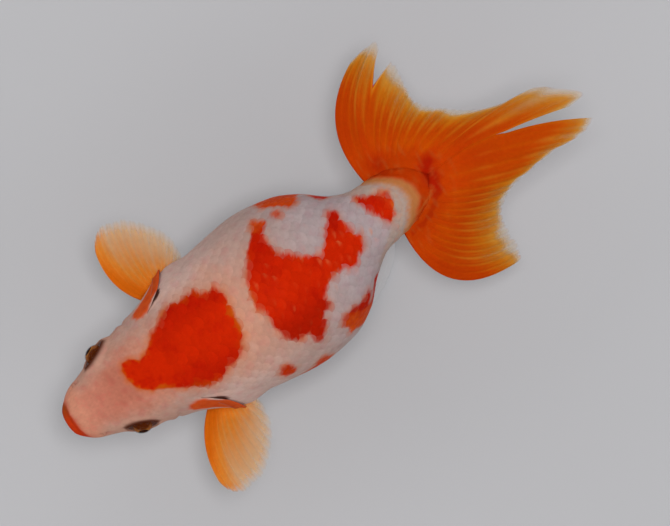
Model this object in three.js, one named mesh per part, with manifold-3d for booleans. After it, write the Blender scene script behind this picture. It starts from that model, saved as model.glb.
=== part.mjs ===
// A life-size still model of a fancy goldfish without a back fin (the egg-bodied, small-headed,
// four-lobed-tail kind), swimming level on a plain stand. Millimetres, +Z up.
// The fish's own frame: X across (its left is +X), Y along from the tip of the snout to the tail,
// Z above or below the mouth. The whole fish is then set over the middle of the stand's base.
import * as THREE from "three";
import { mergeVertices } from "three/addons/utils/BufferGeometryUtils.js";
import Module from "manifold-3d";

const wasm = await Module();
wasm.setup();

// ---------------------------------------------------------------- driving dimensions
const BODY_LENGTH = 112; // snout to the end of the tail stem's flesh
const SNOUT_CAP = 7; // the snout closes over this length, as half an ellipse
const STEM_CAP = 4; // and the tail stem over this
const FULLNESS = 0.05; // how much squarer a cross-section is than an ellipse
const GAP = 0.3; // clearance between neighbouring pieces
const SLACK = 0.05; // facets flatter than this are merged

const HEAD_END = 33; // cut between head and trunk
const TRUNK_END = 89; // cut between trunk and tail stem
const MOUTH = {
  slope: 22, // degrees the mouth falls towards its corners
  slit: 0.3, // height of the opening
  reach: 5, // how far back the opening goes
  lipDepth: 2.6,
  lipHeight: 2.7,
  lipProud: 0.4, // how far the lips stand out of the snout
};
const NOSTRIL = { radius: 0.8, along: 7.2, turn: 0.8 };
const EYE = { radius: 4.5, along: 16, across: 8.6, height: 3.4 };
const GILL = {
  along: 28.6, // centre of the cover's oval outline, seen from the side
  height: -1.5,
  halfHeight: 15,
  ahead: 5.4, // half lengths of the oval before and behind its centre
  behind: 11,
  skin: 1.2, // thickness
  sunk: 1.4, // how deep it is let into the cheek at its front
  flare: 2.5, // how far its rear edge stands off the body
  inner: 3, // nearest it comes to the middle of the throat
};

const FIN = { root: 1.2, edge: 0.6, sunk: 1.2 }; // thickness, and how deep a root starts in the body

const STAND = { halfLength: 36, halfWidth: 20, thick: 5, round: 1, rod: 2, rods: [46, 72], sink: 2 };
const CLEARANCE = 20; // from the top of the base to the lowest part of the belly
const BALANCE = 60; // the place along the fish that stands over the middle of the base

// ---------------------------------------------------------------- the body's shape
// At named places along the fish: half width, height of the back, depth of the belly,
// height of the widest line, and how far the spine is bent to the fish's left.
const STATIONS = [
  { place: "snout", along: 0, half: 7.3, back: 6.2, belly: 5.8, widest: 0, shift: -0.1 },
  { place: "nostrils", along: 6, half: 8.1, back: 8.4, belly: 7.8, widest: 0.2, shift: -0.2 },
  { place: "eyes", along: 15, half: 11.3, back: 12.4, belly: 12, widest: 0.3, shift: -0.3 },
  { place: "cheeks", along: 22, half: 13.4, back: 15.6, belly: 15, widest: -0.3, shift: -0.3 },
  { place: "gills", along: 32, half: 15.9, back: 19.6, belly: 18.4, widest: -1, shift: -0.2 },
  { place: "shoulders", along: 42, half: 18.8, back: 22.8, belly: 21.4, widest: -1.8, shift: 0 },
  { place: "ribs", along: 52, half: 20.8, back: 24.6, belly: 24, widest: -2.4, shift: -0.1 },
  { place: "girth", along: 63, half: 22, back: 24.8, belly: 25.5, widest: -2.8, shift: -0.3 },
  { place: "loins", along: 73, half: 20.6, back: 22.2, belly: 24, widest: -2.8, shift: -0.4 },
  { place: "vent", along: 80, half: 17.2, back: 19.2, belly: 19.6, widest: -1.8, shift: -0.7 },
  { place: "stem root", along: 86, half: 11.9, back: 15.9, belly: 13, widest: 0, shift: -1.5 },
  { place: "stem", along: 92, half: 8.9, back: 12.4, belly: 7.9, widest: 1.4, shift: -2.6 },
  { place: "lower fin root", along: 98, half: 8.4, back: 9.6, belly: 5.2, widest: 1.4, shift: -3.3 },
  { place: "upper fin root", along: 106, half: 6.6, back: 7.6, belly: 2, widest: 2.4, shift: -3.9 },
  { place: "end of flesh", along: 112, half: 5, back: 7, belly: -2.4, widest: 4.6, shift: -4.3 },
];

// A smooth curve through (at, value) pairs that never overshoots them: cubic pieces whose
// slope at each place is the harmonic mean of its neighbours' slopes.
function smoothThrough(ats, values) {
  const steps = ats.slice(1).map((a, i) => (values[i + 1] - values[i]) / (a - ats[i]));
  const slopes = values.map((_, i) => {
    if (i === 0) return steps[0];
    if (i === values.length - 1) return steps[i - 1];
    return steps[i - 1] * steps[i] <= 0 ? 0 : (2 * steps[i - 1] * steps[i]) / (steps[i - 1] + steps[i]);
  });
  return (at) => {
    let i = 0;
    while (i < ats.length - 2 && at > ats[i + 1]) i++;
    const span = ats[i + 1] - ats[i];
    const s = THREE.MathUtils.clamp((at - ats[i]) / span, 0, 1);
    const rise = s * s * (3 - 2 * s);
    const lean = s * (1 - s) * span;
    return (
      values[i] * (1 - rise) + values[i + 1] * rise +
      lean * (slopes[i] * (1 - s) - slopes[i + 1] * s)
    );
  };
}

const profile = (key) => smoothThrough(STATIONS.map((s) => s.along), STATIONS.map((s) => s[key]));
const body = {
  half: profile("half"),
  back: profile("back"),
  belly: profile("belly"),
  widest: profile("widest"),
  shift: profile("shift"),
};

// How much of its full section the body has at a place: a half ellipse closes each end.
function closing(along) {
  const ahead = Math.max(0, 1 - along / SNOUT_CAP);
  const behind = Math.max(0, 1 - (BODY_LENGTH - along) / STEM_CAP);
  return Math.sqrt(Math.max(0, 1 - ahead * ahead - behind * behind));
}

// A point of the body's surface. turn goes round the section from the back (0) through the
// fish's left side (PI / 2) to the belly (PI).
function bodyPoint(along, turn, proud = 0) {
  const open = closing(along);
  const widest = body.widest(along);
  const reach = Math.cos(turn) > 0 ? body.back(along) - widest : body.belly(along) + widest;
  const full = 1 + FULLNESS * Math.sin(2 * turn) ** 2;
  const across = (body.half(along) * open + proud) * full * Math.sin(turn);
  const height = (reach * open + proud) * full * Math.cos(turn);
  return new THREE.Vector3(body.shift(along) + across, along, widest + height);
}

// ---------------------------------------------------------------- solids
// A closed geometry as a solid that can be cut and joined, turned to face out if it faces in.
function solidOf(geometry) {
  const bare = geometry.clone();
  bare.deleteAttribute("normal");
  bare.deleteAttribute("uv");
  const merged = mergeVertices(bare, 1e-4);
  const corners = new Uint32Array(merged.index.array);
  const make = () =>
    new wasm.Manifold(
      new wasm.Mesh({ numProp: 3, vertProperties: merged.attributes.position.array, triVerts: corners }),
    );
  const made = make();
  if (made.volume() > 0) return made;
  for (let i = 0; i < corners.length; i += 3) {
    [corners[i + 1], corners[i + 2]] = [corners[i + 2], corners[i + 1]];
  }
  return make();
}

function geometryOf(solid) {
  const { vertProperties, triVerts, numProp, numVert } = solid.getMesh();
  const places = new Float32Array(numVert * 3);
  for (let i = 0; i < numVert; i++) places.set(vertProperties.subarray(i * numProp, i * numProp + 3), i * 3);
  const geometry = new THREE.BufferGeometry();
  geometry.setAttribute("position", new THREE.BufferAttribute(places, 3));
  geometry.setIndex(new THREE.BufferAttribute(triVerts, 1));
  geometry.computeVertexNormals();
  return geometry;
}

// Moves every vertex of a geometry to where place(vertex) says.
function reshaped(geometry, place) {
  const spots = geometry.attributes.position;
  const vertex = new THREE.Vector3();
  for (let i = 0; i < spots.count; i++) {
    vertex.fromBufferAttribute(spots, i);
    const moved = place(vertex);
    spots.setXYZ(i, moved.x, moved.y, moved.z);
  }
  return geometry;
}

// The whole body as a sphere drawn out along the fish, its rings crowding towards the ends.
// proud(along, turn) makes it bigger or smaller, place by place.
function wholeBody(proud = () => 0, { around = 32, rings = 34 } = {}) {
  const ball = new THREE.SphereGeometry(1, around, rings);
  const spread = 0.12; // how strongly the rings crowd towards the ends
  return solidOf(
    reshaped(ball, (v) => {
      const share = Math.acos(THREE.MathUtils.clamp(v.y, -1, 1)) / Math.PI;
      const along = BODY_LENGTH * (share - spread * Math.sin(2 * Math.PI * share));
      const turn = Math.atan2(v.x, v.z);
      const end = Math.min(share, 1 - share) < 1e-4;
      const extra = proud(along, turn);
      const spot = bodyPoint(along, turn, end ? 0 : extra);
      spot.y += extra * Math.cos(Math.PI * share) * -(1 - closing(along) ** 2);
      return spot;
    }),
  );
}

// A box between two corners, as a solid.
function boxBetween(low, high) {
  const size = high.map((h, k) => h - low[k]);
  const centre = high.map((h, k) => (h + low[k]) / 2);
  return solidOf(new THREE.BoxGeometry(...size).translate(...centre));
}

const FAR = 200;
const slab = (from, to) => boxBetween([-FAR, from, -FAR], [FAR, to, FAR]);

// The biggest of the separate bodies that a cut leaves.
const largest = (solid) => solid.decompose().reduce((a, b) => (b.volume() > a.volume() ? b : a));

// ---------------------------------------------------------------- head, trunk and tail stem
const flesh = wholeBody();
const bodyCutter = wholeBody(() => GAP);

// A zone of the mouth: everything ahead of back, between two heights above the mouth's line.
const mouthZone = (back, low, high) =>
  boxBetween([-FAR, -FAR / 2, low], [FAR, back, high]).rotate([-MOUTH.slope, 0, 0]);
const halfSlit = MOUTH.slit / 2;
const lipFlesh = wholeBody((along) => MOUTH.lipProud * Math.max(0, 1 - along / (2 * MOUTH.lipDepth)));
const upperLip = largest(lipFlesh.intersect(mouthZone(MOUTH.lipDepth, halfSlit, MOUTH.lipHeight)));
const lowerLip = largest(lipFlesh.intersect(mouthZone(MOUTH.lipDepth, -MOUTH.lipHeight, -halfSlit)));
const lipSeat = mouthZone(MOUTH.lipDepth + GAP, -MOUTH.lipHeight - GAP, MOUTH.lipHeight + GAP);
const mouthSlit = boxBetween([-MOUTH.reach, -FAR / 2, -halfSlit], [MOUTH.reach, MOUTH.reach, halfSlit]);

// The space of a gill cover: an oval seen from the side, blunter ahead than behind, on one side.
function coverZone(side, grown) {
  const oval = new THREE.CylinderGeometry(1, 1, FAR, 28).rotateZ(Math.PI / 2);
  reshaped(oval, (v) => {
    const length = (v.y < 0 ? GILL.ahead : GILL.behind) + grown;
    return new THREE.Vector3(v.x, GILL.along + v.y * length, GILL.height + v.z * (GILL.halfHeight + grown));
  });
  const inner = GILL.inner - grown;
  return solidOf(oval).intersect(boxBetween([inner, 0, -FAR], [FAR, FAR, FAR]).scale([side, 1, 1]));
}

// How far the cover has risen off the cheek at a place: 0 at its front, 1 at its rear edge.
const coverRise = (along) =>
  THREE.MathUtils.smoothstep(along, GILL.along - GILL.ahead, GILL.along + GILL.behind);
const coverOuter = (extra) => wholeBody((along) => GILL.flare * coverRise(along) + extra);
const coverInner = (extra) =>
  wholeBody((along) => (GILL.flare - GILL.skin + GILL.sunk) * coverRise(along) - GILL.sunk + extra);
const gillCover = (side) =>
  largest(coverZone(side, 0).intersect(coverOuter(0)).subtract(coverInner(0)));
const gillSeat = (side) => coverZone(side, GAP).subtract(coverInner(-GAP));
const gillSpace = (side) => coverZone(side, GAP).intersect(coverOuter(GAP));

function ball(radius, centre, around = 16) {
  const sphere = new THREE.SphereGeometry(radius, around, Math.round(around * 0.7));
  return solidOf(sphere.rotateZ(Math.PI / 2).translate(...centre));
}

const eyeCentre = (side) => [body.shift(EYE.along) + side * EYE.across, EYE.along, EYE.height];
const nostril = (side) =>
  ball(NOSTRIL.radius, bodyPoint(NOSTRIL.along, side * NOSTRIL.turn).toArray(), 10);

const SIDES = { left: 1, right: -1 };
const bothSides = (make) => make(SIDES.left).add(make(SIDES.right));

const fleshWithSeats = flesh.subtract(bothSides(gillSeat));
const head = fleshWithSeats
  .intersect(slab(-FAR / 4, HEAD_END - GAP / 2))
  .subtract(lipSeat)
  .subtract(mouthSlit.rotate([-MOUTH.slope, 0, 0]))
  .subtract(bothSides((side) => ball(EYE.radius + GAP, eyeCentre(side))))
  .subtract(bothSides(nostril));
const trunk = fleshWithSeats.intersect(slab(HEAD_END + GAP / 2, TRUNK_END - GAP / 2));
const tailStem = flesh.intersect(slab(TRUNK_END + GAP / 2, BODY_LENGTH + 1));

// ---------------------------------------------------------------- fins
// A fin is a fan of rays. Each key ray runs from the root line to its tip [x, y, z], bowed
// sideways (bow, a share of its length, towards the fish's head) and upwards (arch, likewise).
function finSurface(root, side, rays) {
  const ats = rays.map((ray) => ray.at);
  const tip = [0, 1, 2].map((k) => smoothThrough(ats, rays.map((ray) => ray.tip[k])));
  const bow = smoothThrough(ats, rays.map((ray) => ray.bow));
  const arch = smoothThrough(ats, rays.map((ray) => ray.arch));
  return (t, r) => {
    const start = root(t);
    const chord = new THREE.Vector3(...tip.map((part) => part(t))).sub(start);
    const ahead = new THREE.Vector3(chord.y, -chord.x, 0).multiplyScalar(side * bow(t));
    const lift = new THREE.Vector3(0, 0, chord.length() * arch(t));
    const swell = 4 * r * (1 - r);
    return start.addScaledVector(chord, r).addScaledVector(ahead, swell).addScaledVector(lift, swell);
  };
}

// The directions across the rays and through the sheet at a point of a fin.
function finAxes(surface, t, r) {
  const step = 1e-3;
  const across = surface(Math.min(t + step, 1), r).sub(surface(Math.max(t - step, 0), r)).normalize();
  const alongRay = surface(t, Math.min(r + step, 1)).sub(surface(t, Math.max(r - step, 0)));
  return { across, through: across.clone().cross(alongRay).normalize() };
}

// A fin's solid: a flat box whose width runs over the rays, its height along them and its
// depth through the sheet. What lies inside the body is cut away.
function finSolid(surface, { rays = 10, lengths = 6, spare } = {}) {
  const sheet = new THREE.BoxGeometry(1, 1, 1, rays, lengths, 1);
  reshaped(sheet, (v) => {
    const t = 0.5 + v.x;
    const r = v.y + 0.5;
    const { through } = finAxes(surface, t, r);
    const thick = THREE.MathUtils.lerp(FIN.root, FIN.edge, r);
    return surface(t, r).addScaledVector(through, v.z * thick);
  });
  const cut = solidOf(sheet).subtract(bodyCutter);
  return largest(spare ? cut.subtract(spare) : cut);
}

const CUTTER_HEIGHT = 6; // of the walls that cut a fin, through its sheet

// A thin wall standing on a fin along the ray at t, to part two lobes.
function raySlot(surface, t) {
  const wall = new THREE.BoxGeometry(1, 1, 1, 1, 8, 1);
  const overrun = 0.12; // the wall is this much longer than the ray at each end
  reshaped(wall, (v) => {
    const r = 0.5 + v.y * (1 + 2 * overrun);
    const { across, through } = finAxes(surface, t, THREE.MathUtils.clamp(r, 0, 1));
    return surface(t, r).addScaledVector(across, v.x * GAP).addScaledVector(through, v.z * CUTTER_HEIGHT);
  });
  return solidOf(wall);
}

// A wedge standing on a fin, to tear its web: from a point depth short of the edge on the ray
// at t, it opens out to spread on each side of that ray.
function rayTear(surface, { at, spread, depth }) {
  const wedge = new THREE.BoxGeometry(1, 1, 1, 1, 1, 1);
  const sharpest = 0.03; // share of its width that the inner edge keeps
  reshaped(wedge, (v) => {
    const out = v.y + 0.5;
    const t = at + 2 * v.x * spread * Math.max(out, sharpest);
    const { through } = finAxes(surface, t, 1);
    return surface(t, 1 - depth * (1 - out)).addScaledVector(through, v.z * CUTTER_HEIGHT);
  });
  return solidOf(wedge);
}

// A root line on the body's surface between two places given as [along, turn]. The turn is
// made late in the line where late is over 1.
const rootOnBody = (side, { first, last, late = 1 }) => (t) => {
  const along = THREE.MathUtils.lerp(first[0], last[0], t);
  const turn = THREE.MathUtils.lerp(first[1], last[1], t ** late);
  return bodyPoint(along, side * turn, -FIN.sunk);
};

// Breast fins, spread level to each side from low behind the gill covers.
const PECTORAL_ROOT = { first: [35.6, 2.28], last: [39.6, 2.1] };
const PECTORAL_RAYS = {
  right: [
    { at: 0, tip: [-33.4, 28.8, -8], bow: 0.16, arch: 0.05 },
    { at: 0.1, tip: [-36.4, 31, -8], bow: 0.15, arch: 0.05 },
    { at: 0.2, tip: [-37.5, 33.2, -8], bow: 0.135, arch: 0.05 },
    { at: 0.35, tip: [-37.3, 36.6, -8.5], bow: 0.1, arch: 0.06 },
    { at: 0.5, tip: [-35.4, 39.8, -9.5], bow: 0.08, arch: 0.06 },
    { at: 0.65, tip: [-32.5, 43, -10.5], bow: 0.05, arch: 0.06 },
    { at: 0.8, tip: [-28.2, 45.8, -11.5], bow: 0.02, arch: 0.05 },
    { at: 0.9, tip: [-24.6, 46.8, -12.5], bow: 0, arch: 0.04 },
    { at: 1, tip: [-20.2, 46.6, -13.5], bow: -0.04, arch: 0.03 },
  ],
  left: [
    { at: 0, tip: [33.6, 24, -8], bow: 0.14, arch: 0.05 },
    { at: 0.1, tip: [36.7, 25.6, -8], bow: 0.14, arch: 0.05 },
    { at: 0.2, tip: [38, 28, -8], bow: 0.13, arch: 0.05 },
    { at: 0.35, tip: [38, 31.4, -8.5], bow: 0.11, arch: 0.06 },
    { at: 0.5, tip: [36.6, 35, -9.5], bow: 0.08, arch: 0.06 },
    { at: 0.65, tip: [33.8, 38.6, -10.5], bow: 0.05, arch: 0.06 },
    { at: 0.8, tip: [29.7, 41.7, -11.5], bow: 0.02, arch: 0.05 },
    { at: 0.9, tip: [25.6, 43.4, -12.5], bow: 0, arch: 0.04 },
    { at: 1, tip: [21, 43.8, -13.5], bow: -0.03, arch: 0.03 },
  ],
};

// Belly fins, trailing back, down and a little out.
const PELVIC_ROOT = { first: [50.5, 2.72], last: [54.5, 2.92] };
const pelvicRays = (side) => [
  { at: 0, tip: [side * 17, 63, -32], bow: 0.06, arch: -0.06 },
  { at: 0.3, tip: [side * 15.5, 67.5, -33], bow: 0.04, arch: -0.06 },
  { at: 0.65, tip: [side * 10.5, 68.5, -33], bow: 0.02, arch: -0.05 },
  { at: 1, tip: [side * 5.5, 64.5, -31.5], bow: 0, arch: -0.03 },
];

// Vent fins, a pair side by side under the root of the stem.
const ANAL_ROOT = { first: [80.5, 2.98], last: [87, 2.86] };
const analRays = (side) => [
  { at: 0, tip: [side * 3.6 - 1.6, 91, -26.5], bow: 0.04, arch: -0.04 },
  { at: 0.35, tip: [side * 4.8 - 1.9, 95.5, -24], bow: 0.03, arch: -0.03 },
  { at: 0.7, tip: [side * 5.2 - 2.2, 97.5, -19.5], bow: 0.02, arch: -0.02 },
  { at: 1, tip: [side * 4.8 - 2.3, 96, -14.5], bow: 0, arch: 0 },
];

// The tail fin's two halves, from the lowest ray (at 0), hooking forward and out, to the
// topmost (at 1), running straight back. Where the tips draw in, the fin is notched.
const TAIL_ROOT = {
  right: { first: [95.8, 1.9], last: [111, 0.3], late: 2 },
  left: { first: [97.2, 1.9], last: [111, 0.3], late: 2 },
};
const TAIL_RAYS = {
  right: [
    { at: 0, tip: [-39, 109.5, -9], bow: 0.19, arch: 0.02 },
    { at: 0.06, tip: [-39.8, 113.2, -9], bow: 0.18, arch: 0.02 },
    { at: 0.13, tip: [-40, 116.2, -8.5], bow: 0.16, arch: 0.02 },
    { at: 0.2, tip: [-39.7, 117.1, -8], bow: 0.14, arch: 0.03 },
    { at: 0.238, tip: [-38.1, 117.3, -8], bow: 0.12, arch: 0.03 },
    { at: 0.282, tip: [-33.6, 118, -7], bow: 0.115, arch: 0.03 },
    { at: 0.36, tip: [-29.5, 117.6, -5], bow: 0.11, arch: 0.03 },
    { at: 0.43, tip: [-25.5, 117.3, -3], bow: 0.1, arch: 0.03 },
    { at: 0.5, tip: [-22.6, 117.1, -1], bow: 0.09, arch: 0.03 },
    { at: 0.56, tip: [-20.6, 117.7, 1], bow: 0.08, arch: 0.03 },
    { at: 0.63, tip: [-17.9, 120, 3], bow: 0.07, arch: 0.03 },
    { at: 0.69, tip: [-15.8, 122.8, 5], bow: 0.06, arch: 0.03 },
    { at: 0.75, tip: [-13.5, 125.6, 7], bow: 0.05, arch: 0.03 },
    { at: 0.81, tip: [-10.9, 130.1, 9], bow: 0.05, arch: 0.03 },
    { at: 0.86, tip: [-9.1, 136.9, 12], bow: 0.04, arch: 0.03 },
    { at: 0.9, tip: [-8.5, 143, 14], bow: 0.035, arch: 0.03 },
    { at: 0.94, tip: [-5.2, 148.3, 16.5], bow: 0.03, arch: 0.03 },
    { at: 0.97, tip: [-1, 153.2, 18.5], bow: 0.035, arch: 0.03 },
    { at: 1, tip: [0.3, 147.8, 18], bow: 0.05, arch: 0.03 },
  ],
  left: [
    { at: 0, tip: [26.6, 118.9, -17], bow: 0.285, arch: -0.04 },
    { at: 0.2, tip: [21.6, 120, -13.5], bow: 0.22, arch: -0.02 },
    { at: 0.34, tip: [17.9, 119.8, -10], bow: 0.18, arch: -0.01 },
    { at: 0.46, tip: [14.3, 120.6, -6.5], bow: 0.14, arch: 0 },
    { at: 0.55, tip: [12, 122.2, -3], bow: 0.11, arch: 0.02 },
    { at: 0.62, tip: [10.5, 124.4, 0], bow: 0.09, arch: 0.02 },
    { at: 0.68, tip: [9.6, 126.2, 2.5], bow: 0.07, arch: 0.03 },
    { at: 0.76, tip: [8.9, 129.8, 6], bow: 0.05, arch: 0.03 },
    { at: 0.82, tip: [8.1, 134, 9], bow: 0.03, arch: 0.03 },
    { at: 0.88, tip: [7.5, 140, 12], bow: 0, arch: 0.03 },
    { at: 0.94, tip: [7.7, 147, 15.5], bow: -0.055, arch: 0.03 },
    { at: 1, tip: [6.2, 152.4, 18], bow: -0.105, arch: 0.03 },
  ],
};
const LOBE_SPLIT = { right: 0.6, left: 0.5 };
const TAIL_TEAR = { half: "right", at: 0.26, spread: 0.022, depth: 0.26 };

// The line, seen from above, on which the two halves of the tail meet and then part.
const TAIL_SEAM = [[-4.6, 100], [-3.5, 131], [-0.4, 143], [2.6, 151], [3.4, 160]];

// Everything on one side of the seam, short of it by half the gap.
function besideSeam(side) {
  const outline = new THREE.Shape();
  outline.moveTo(side * FAR, TAIL_SEAM[0][1]);
  TAIL_SEAM.forEach(([x, y]) => outline.lineTo(x + (side * GAP) / 2, y));
  outline.lineTo(side * FAR, TAIL_SEAM.at(-1)[1]);
  const wall = new THREE.ExtrudeGeometry(outline, { depth: FAR, bevelEnabled: false });
  return solidOf(wall.translate(0, 0, -FAR / 2)).add(slabBefore);
}
const slabBefore = slab(-FAR, TAIL_SEAM[0][1]);

const tailHalves = Object.fromEntries(
  Object.entries(SIDES).map(([name, side]) => {
    const surface = finSurface(rootOnBody(side, TAIL_ROOT[name]), side, TAIL_RAYS[name]);
    const half = finSolid(surface, { rays: 28, lengths: 6 }).intersect(besideSeam(side));
    const torn = name === TAIL_TEAR.half ? half.subtract(rayTear(surface, TAIL_TEAR)) : half;
    const lobes = torn
      .subtract(raySlot(surface, LOBE_SPLIT[name]))
      .decompose()
      .sort((a, b) => b.volume() - a.volume())
      .slice(0, 2)
      .sort((a, b) => a.boundingBox().max[1] - b.boundingBox().max[1]);
    return [name, { lower: lobes[0], upper: lobes[1] }];
  }),
);

// ---------------------------------------------------------------- stand
const baseTop = -Math.max(...STATIONS.map((s) => s.belly)) - CLEARANCE; // in the fish's own frame

function standBase() {
  const { thick, round } = STAND;
  const edge = [
    [0, 0],
    [1, 0],
    [1, thick - round],
    [1 - round / STAND.halfWidth, thick],
    [0, thick],
  ].map(([x, y]) => new THREE.Vector2(x, y));
  const oval = new THREE.LatheGeometry(edge, 48).rotateX(Math.PI / 2);
  oval.scale(STAND.halfWidth, STAND.halfLength, 1);
  return solidOf(oval.translate(0, BALANCE, baseTop - thick));
}

function standRod(along) {
  const rod = new THREE.CylinderGeometry(STAND.rod, STAND.rod, FAR / 2, 24).rotateX(Math.PI / 2);
  rod.translate(0, along, baseTop - STAND.sink + FAR / 4);
  const upToBody = boxBetween([-FAR, 0, -FAR], [FAR, FAR, 0]);
  return largest(solidOf(rod).intersect(upToBody).subtract(bodyCutter));
}

const rods = STAND.rods.map(standRod);
const socket = (along) =>
  solidOf(
    new THREE.CylinderGeometry(STAND.rod + GAP, STAND.rod + GAP, FAR / 2, 24)
      .rotateX(Math.PI / 2)
      .translate(0, along, baseTop - STAND.sink - GAP + FAR / 4),
  );
const base = STAND.rods.reduce((solid, along) => solid.subtract(socket(along)), standBase());

// ---------------------------------------------------------------- finishes
const LOOKS = {
  scales: { color: "#ecdcda", roughness: 0.35 },
  face: { color: "#efc0b4", roughness: 0.4 },
  red: { color: "#d2330f", roughness: 0.4 },
  fin: { color: "#f08a24", roughness: 0.45 },
  eye: { color: "#3a2416", roughness: 0.15 },
  base: { color: "#e8e9ea", roughness: 0.5 },
  rod: { color: "#b9bcc0", roughness: 0.3, metalness: 0.9 },
};

// ---------------------------------------------------------------- the model
// A named mesh whose own origin is the point at, given like the solid in the fish's own frame.
function node(name, solid, look, at = [0, 0, 0]) {
  const own = solid.translate(at.map((v) => -v)).simplify(SLACK);
  const mesh = new THREE.Mesh(geometryOf(own), new THREE.MeshStandardMaterial(look));
  mesh.name = name;
  mesh.position.set(...at);
  return mesh;
}

// A fin's mesh has its origin in the middle of its root line.
function finNode(name, root, solid) {
  return node(name, solid, LOOKS.fin, root(0.5).toArray());
}

const fish = new THREE.Group();
fish.add(node("head", head, LOOKS.face));
fish.add(node("lip_upper", upperLip, LOOKS.red));
fish.add(node("lip_lower", lowerLip, LOOKS.face));
fish.add(node("trunk", trunk, LOOKS.scales, [0, HEAD_END, 0]));
fish.add(node("tail_stem", tailStem, LOOKS.scales, [0, TRUNK_END, 0]));
for (const [name, side] of Object.entries(SIDES)) {
  const pectoralRoot = rootOnBody(side, PECTORAL_ROOT);
  const pectoral = finSurface(pectoralRoot, side, PECTORAL_RAYS[name]);
  const pelvicRoot = rootOnBody(side, PELVIC_ROOT);
  const pelvic = finSurface(pelvicRoot, side, pelvicRays(side));
  const analRoot = rootOnBody(side, ANAL_ROOT);
  const anal = finSurface(analRoot, side, analRays(side));
  const tailRoot = rootOnBody(side, TAIL_ROOT[name]);
  const gillCentre = [0, GILL.along, GILL.height];
  fish.add(node(`eye_${name}`, ball(EYE.radius, eyeCentre(side)), LOOKS.eye, eyeCentre(side)));
  fish.add(node(`gill_cover_${name}`, gillCover(side), LOOKS.red, gillCentre));
  fish.add(finNode(`pectoral_fin_${name}`, pectoralRoot, finSolid(pectoral, { spare: gillSpace(side) })));
  fish.add(finNode(`pelvic_fin_${name}`, pelvicRoot, finSolid(pelvic, { rays: 7, lengths: 5 })));
  fish.add(finNode(`anal_fin_${name}`, analRoot, finSolid(anal, { rays: 7, lengths: 5 })));
  fish.add(finNode(`tail_lobe_upper_${name}`, tailRoot, tailHalves[name].upper));
  fish.add(finNode(`tail_lobe_lower_${name}`, tailRoot, tailHalves[name].lower));
}

const stand = new THREE.Group();
stand.add(node("stand_base", base, LOOKS.base, [0, BALANCE, baseTop - STAND.thick]));
["front", "rear"].forEach((name, i) => {
  stand.add(node(`stand_rod_${name}`, rods[i], LOOKS.rod, [0, STAND.rods[i], baseTop - STAND.sink]));
});

const model = new THREE.Group();
model.add(fish, stand);
model.position.set(0, -BALANCE, STAND.thick - baseTop);

export default model;
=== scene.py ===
"""A fancy goldfish with no back fin and a four-lobed tail, held level on a plain stand.

Shapes are worked out in millimetres in the fish's own frame: x across (its left is +x), y along
from the tip of the snout, z above or below the mouth. place() sets them into the model's frame.
Each surface is a function of two numbers, worked out on a grid as whole arrays: the place along
the body and the turn round it, or the ray of a fin and the place along that ray.
"""
import math

import bpy
import numpy as np
from mathutils import Matrix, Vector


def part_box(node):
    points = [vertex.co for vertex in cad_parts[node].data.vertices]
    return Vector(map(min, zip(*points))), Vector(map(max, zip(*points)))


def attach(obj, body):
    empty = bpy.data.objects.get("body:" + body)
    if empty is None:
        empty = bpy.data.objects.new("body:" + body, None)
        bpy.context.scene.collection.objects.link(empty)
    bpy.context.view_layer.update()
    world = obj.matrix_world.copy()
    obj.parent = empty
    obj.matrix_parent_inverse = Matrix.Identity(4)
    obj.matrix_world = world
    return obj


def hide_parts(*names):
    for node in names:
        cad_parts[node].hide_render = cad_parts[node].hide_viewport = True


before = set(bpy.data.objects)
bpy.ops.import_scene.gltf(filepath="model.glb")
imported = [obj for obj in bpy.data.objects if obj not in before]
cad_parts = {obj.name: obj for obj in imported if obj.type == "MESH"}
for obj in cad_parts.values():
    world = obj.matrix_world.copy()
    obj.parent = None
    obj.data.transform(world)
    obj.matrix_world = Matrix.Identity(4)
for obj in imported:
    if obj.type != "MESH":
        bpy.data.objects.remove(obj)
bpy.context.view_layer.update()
MM = 0.001

# ---------------------------------------------------------------- sizes shared with the solids
BODY_LENGTH = 112.0
SNOUT_CAP = 7.0
STEM_CAP = 4.0
FULLNESS = 0.05
COAT = 0.25  # depth of the scales: the skin lies this far inside the solids
EYE_HEIGHT = 3.4
EYE_RADIUS = 4.5

STEM_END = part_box("tail_stem")[1][1] / MM
SNOUT_Y = STEM_END - BODY_LENGTH
EYE_Z = (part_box("eye_left")[0][2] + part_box("eye_left")[1][2]) / 2 / MM
MOUTH_Z = EYE_Z - EYE_HEIGHT


def place(points):
    """Fish millimetres to model metres: moved back by the snout's place and up by the mouth's."""
    return (np.asarray(points, float) + [0, SNOUT_Y, MOUTH_Z]) * MM


# ---------------------------------------------------------------- small mathematics
def smooth_through(at, values):
    """A cubic through the points whose slopes are harmonic means, so that it never overshoots."""
    at = np.asarray(at, float)
    values = np.asarray(values, float)
    steps = np.diff(values) / np.diff(at)
    slopes = np.concatenate([steps[:1], np.zeros(len(at) - 2), steps[-1:]])
    before, after = steps[:-1], steps[1:]
    same = before * after > 0
    slopes[1:-1][same] = (2 * before * after)[same] / (before + after)[same]

    def curve(x):
        x = np.clip(x, at[0], at[-1])
        i = np.clip(np.searchsorted(at, x, side="right") - 1, 0, len(at) - 2)
        span = at[i + 1] - at[i]
        s = (x - at[i]) / span
        rise = s * s * (3 - 2 * s)
        lean = s * (1 - s) * span
        return values[i] * (1 - rise) + values[i + 1] * rise + lean * (
            slopes[i] * (1 - s) - slopes[i + 1] * s
        )

    return curve


def ease(x, low, high):
    """0 below low, 1 above high, and a smooth S between; low may be the larger."""
    s = np.clip((np.asarray(x, float) - low) / (high - low), 0, 1)
    return s * s * (3 - 2 * s)


def hump(x, centre, width):
    """A bell of height 1."""
    return np.exp(-(((np.asarray(x, float) - centre) / width) ** 2))


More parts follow.
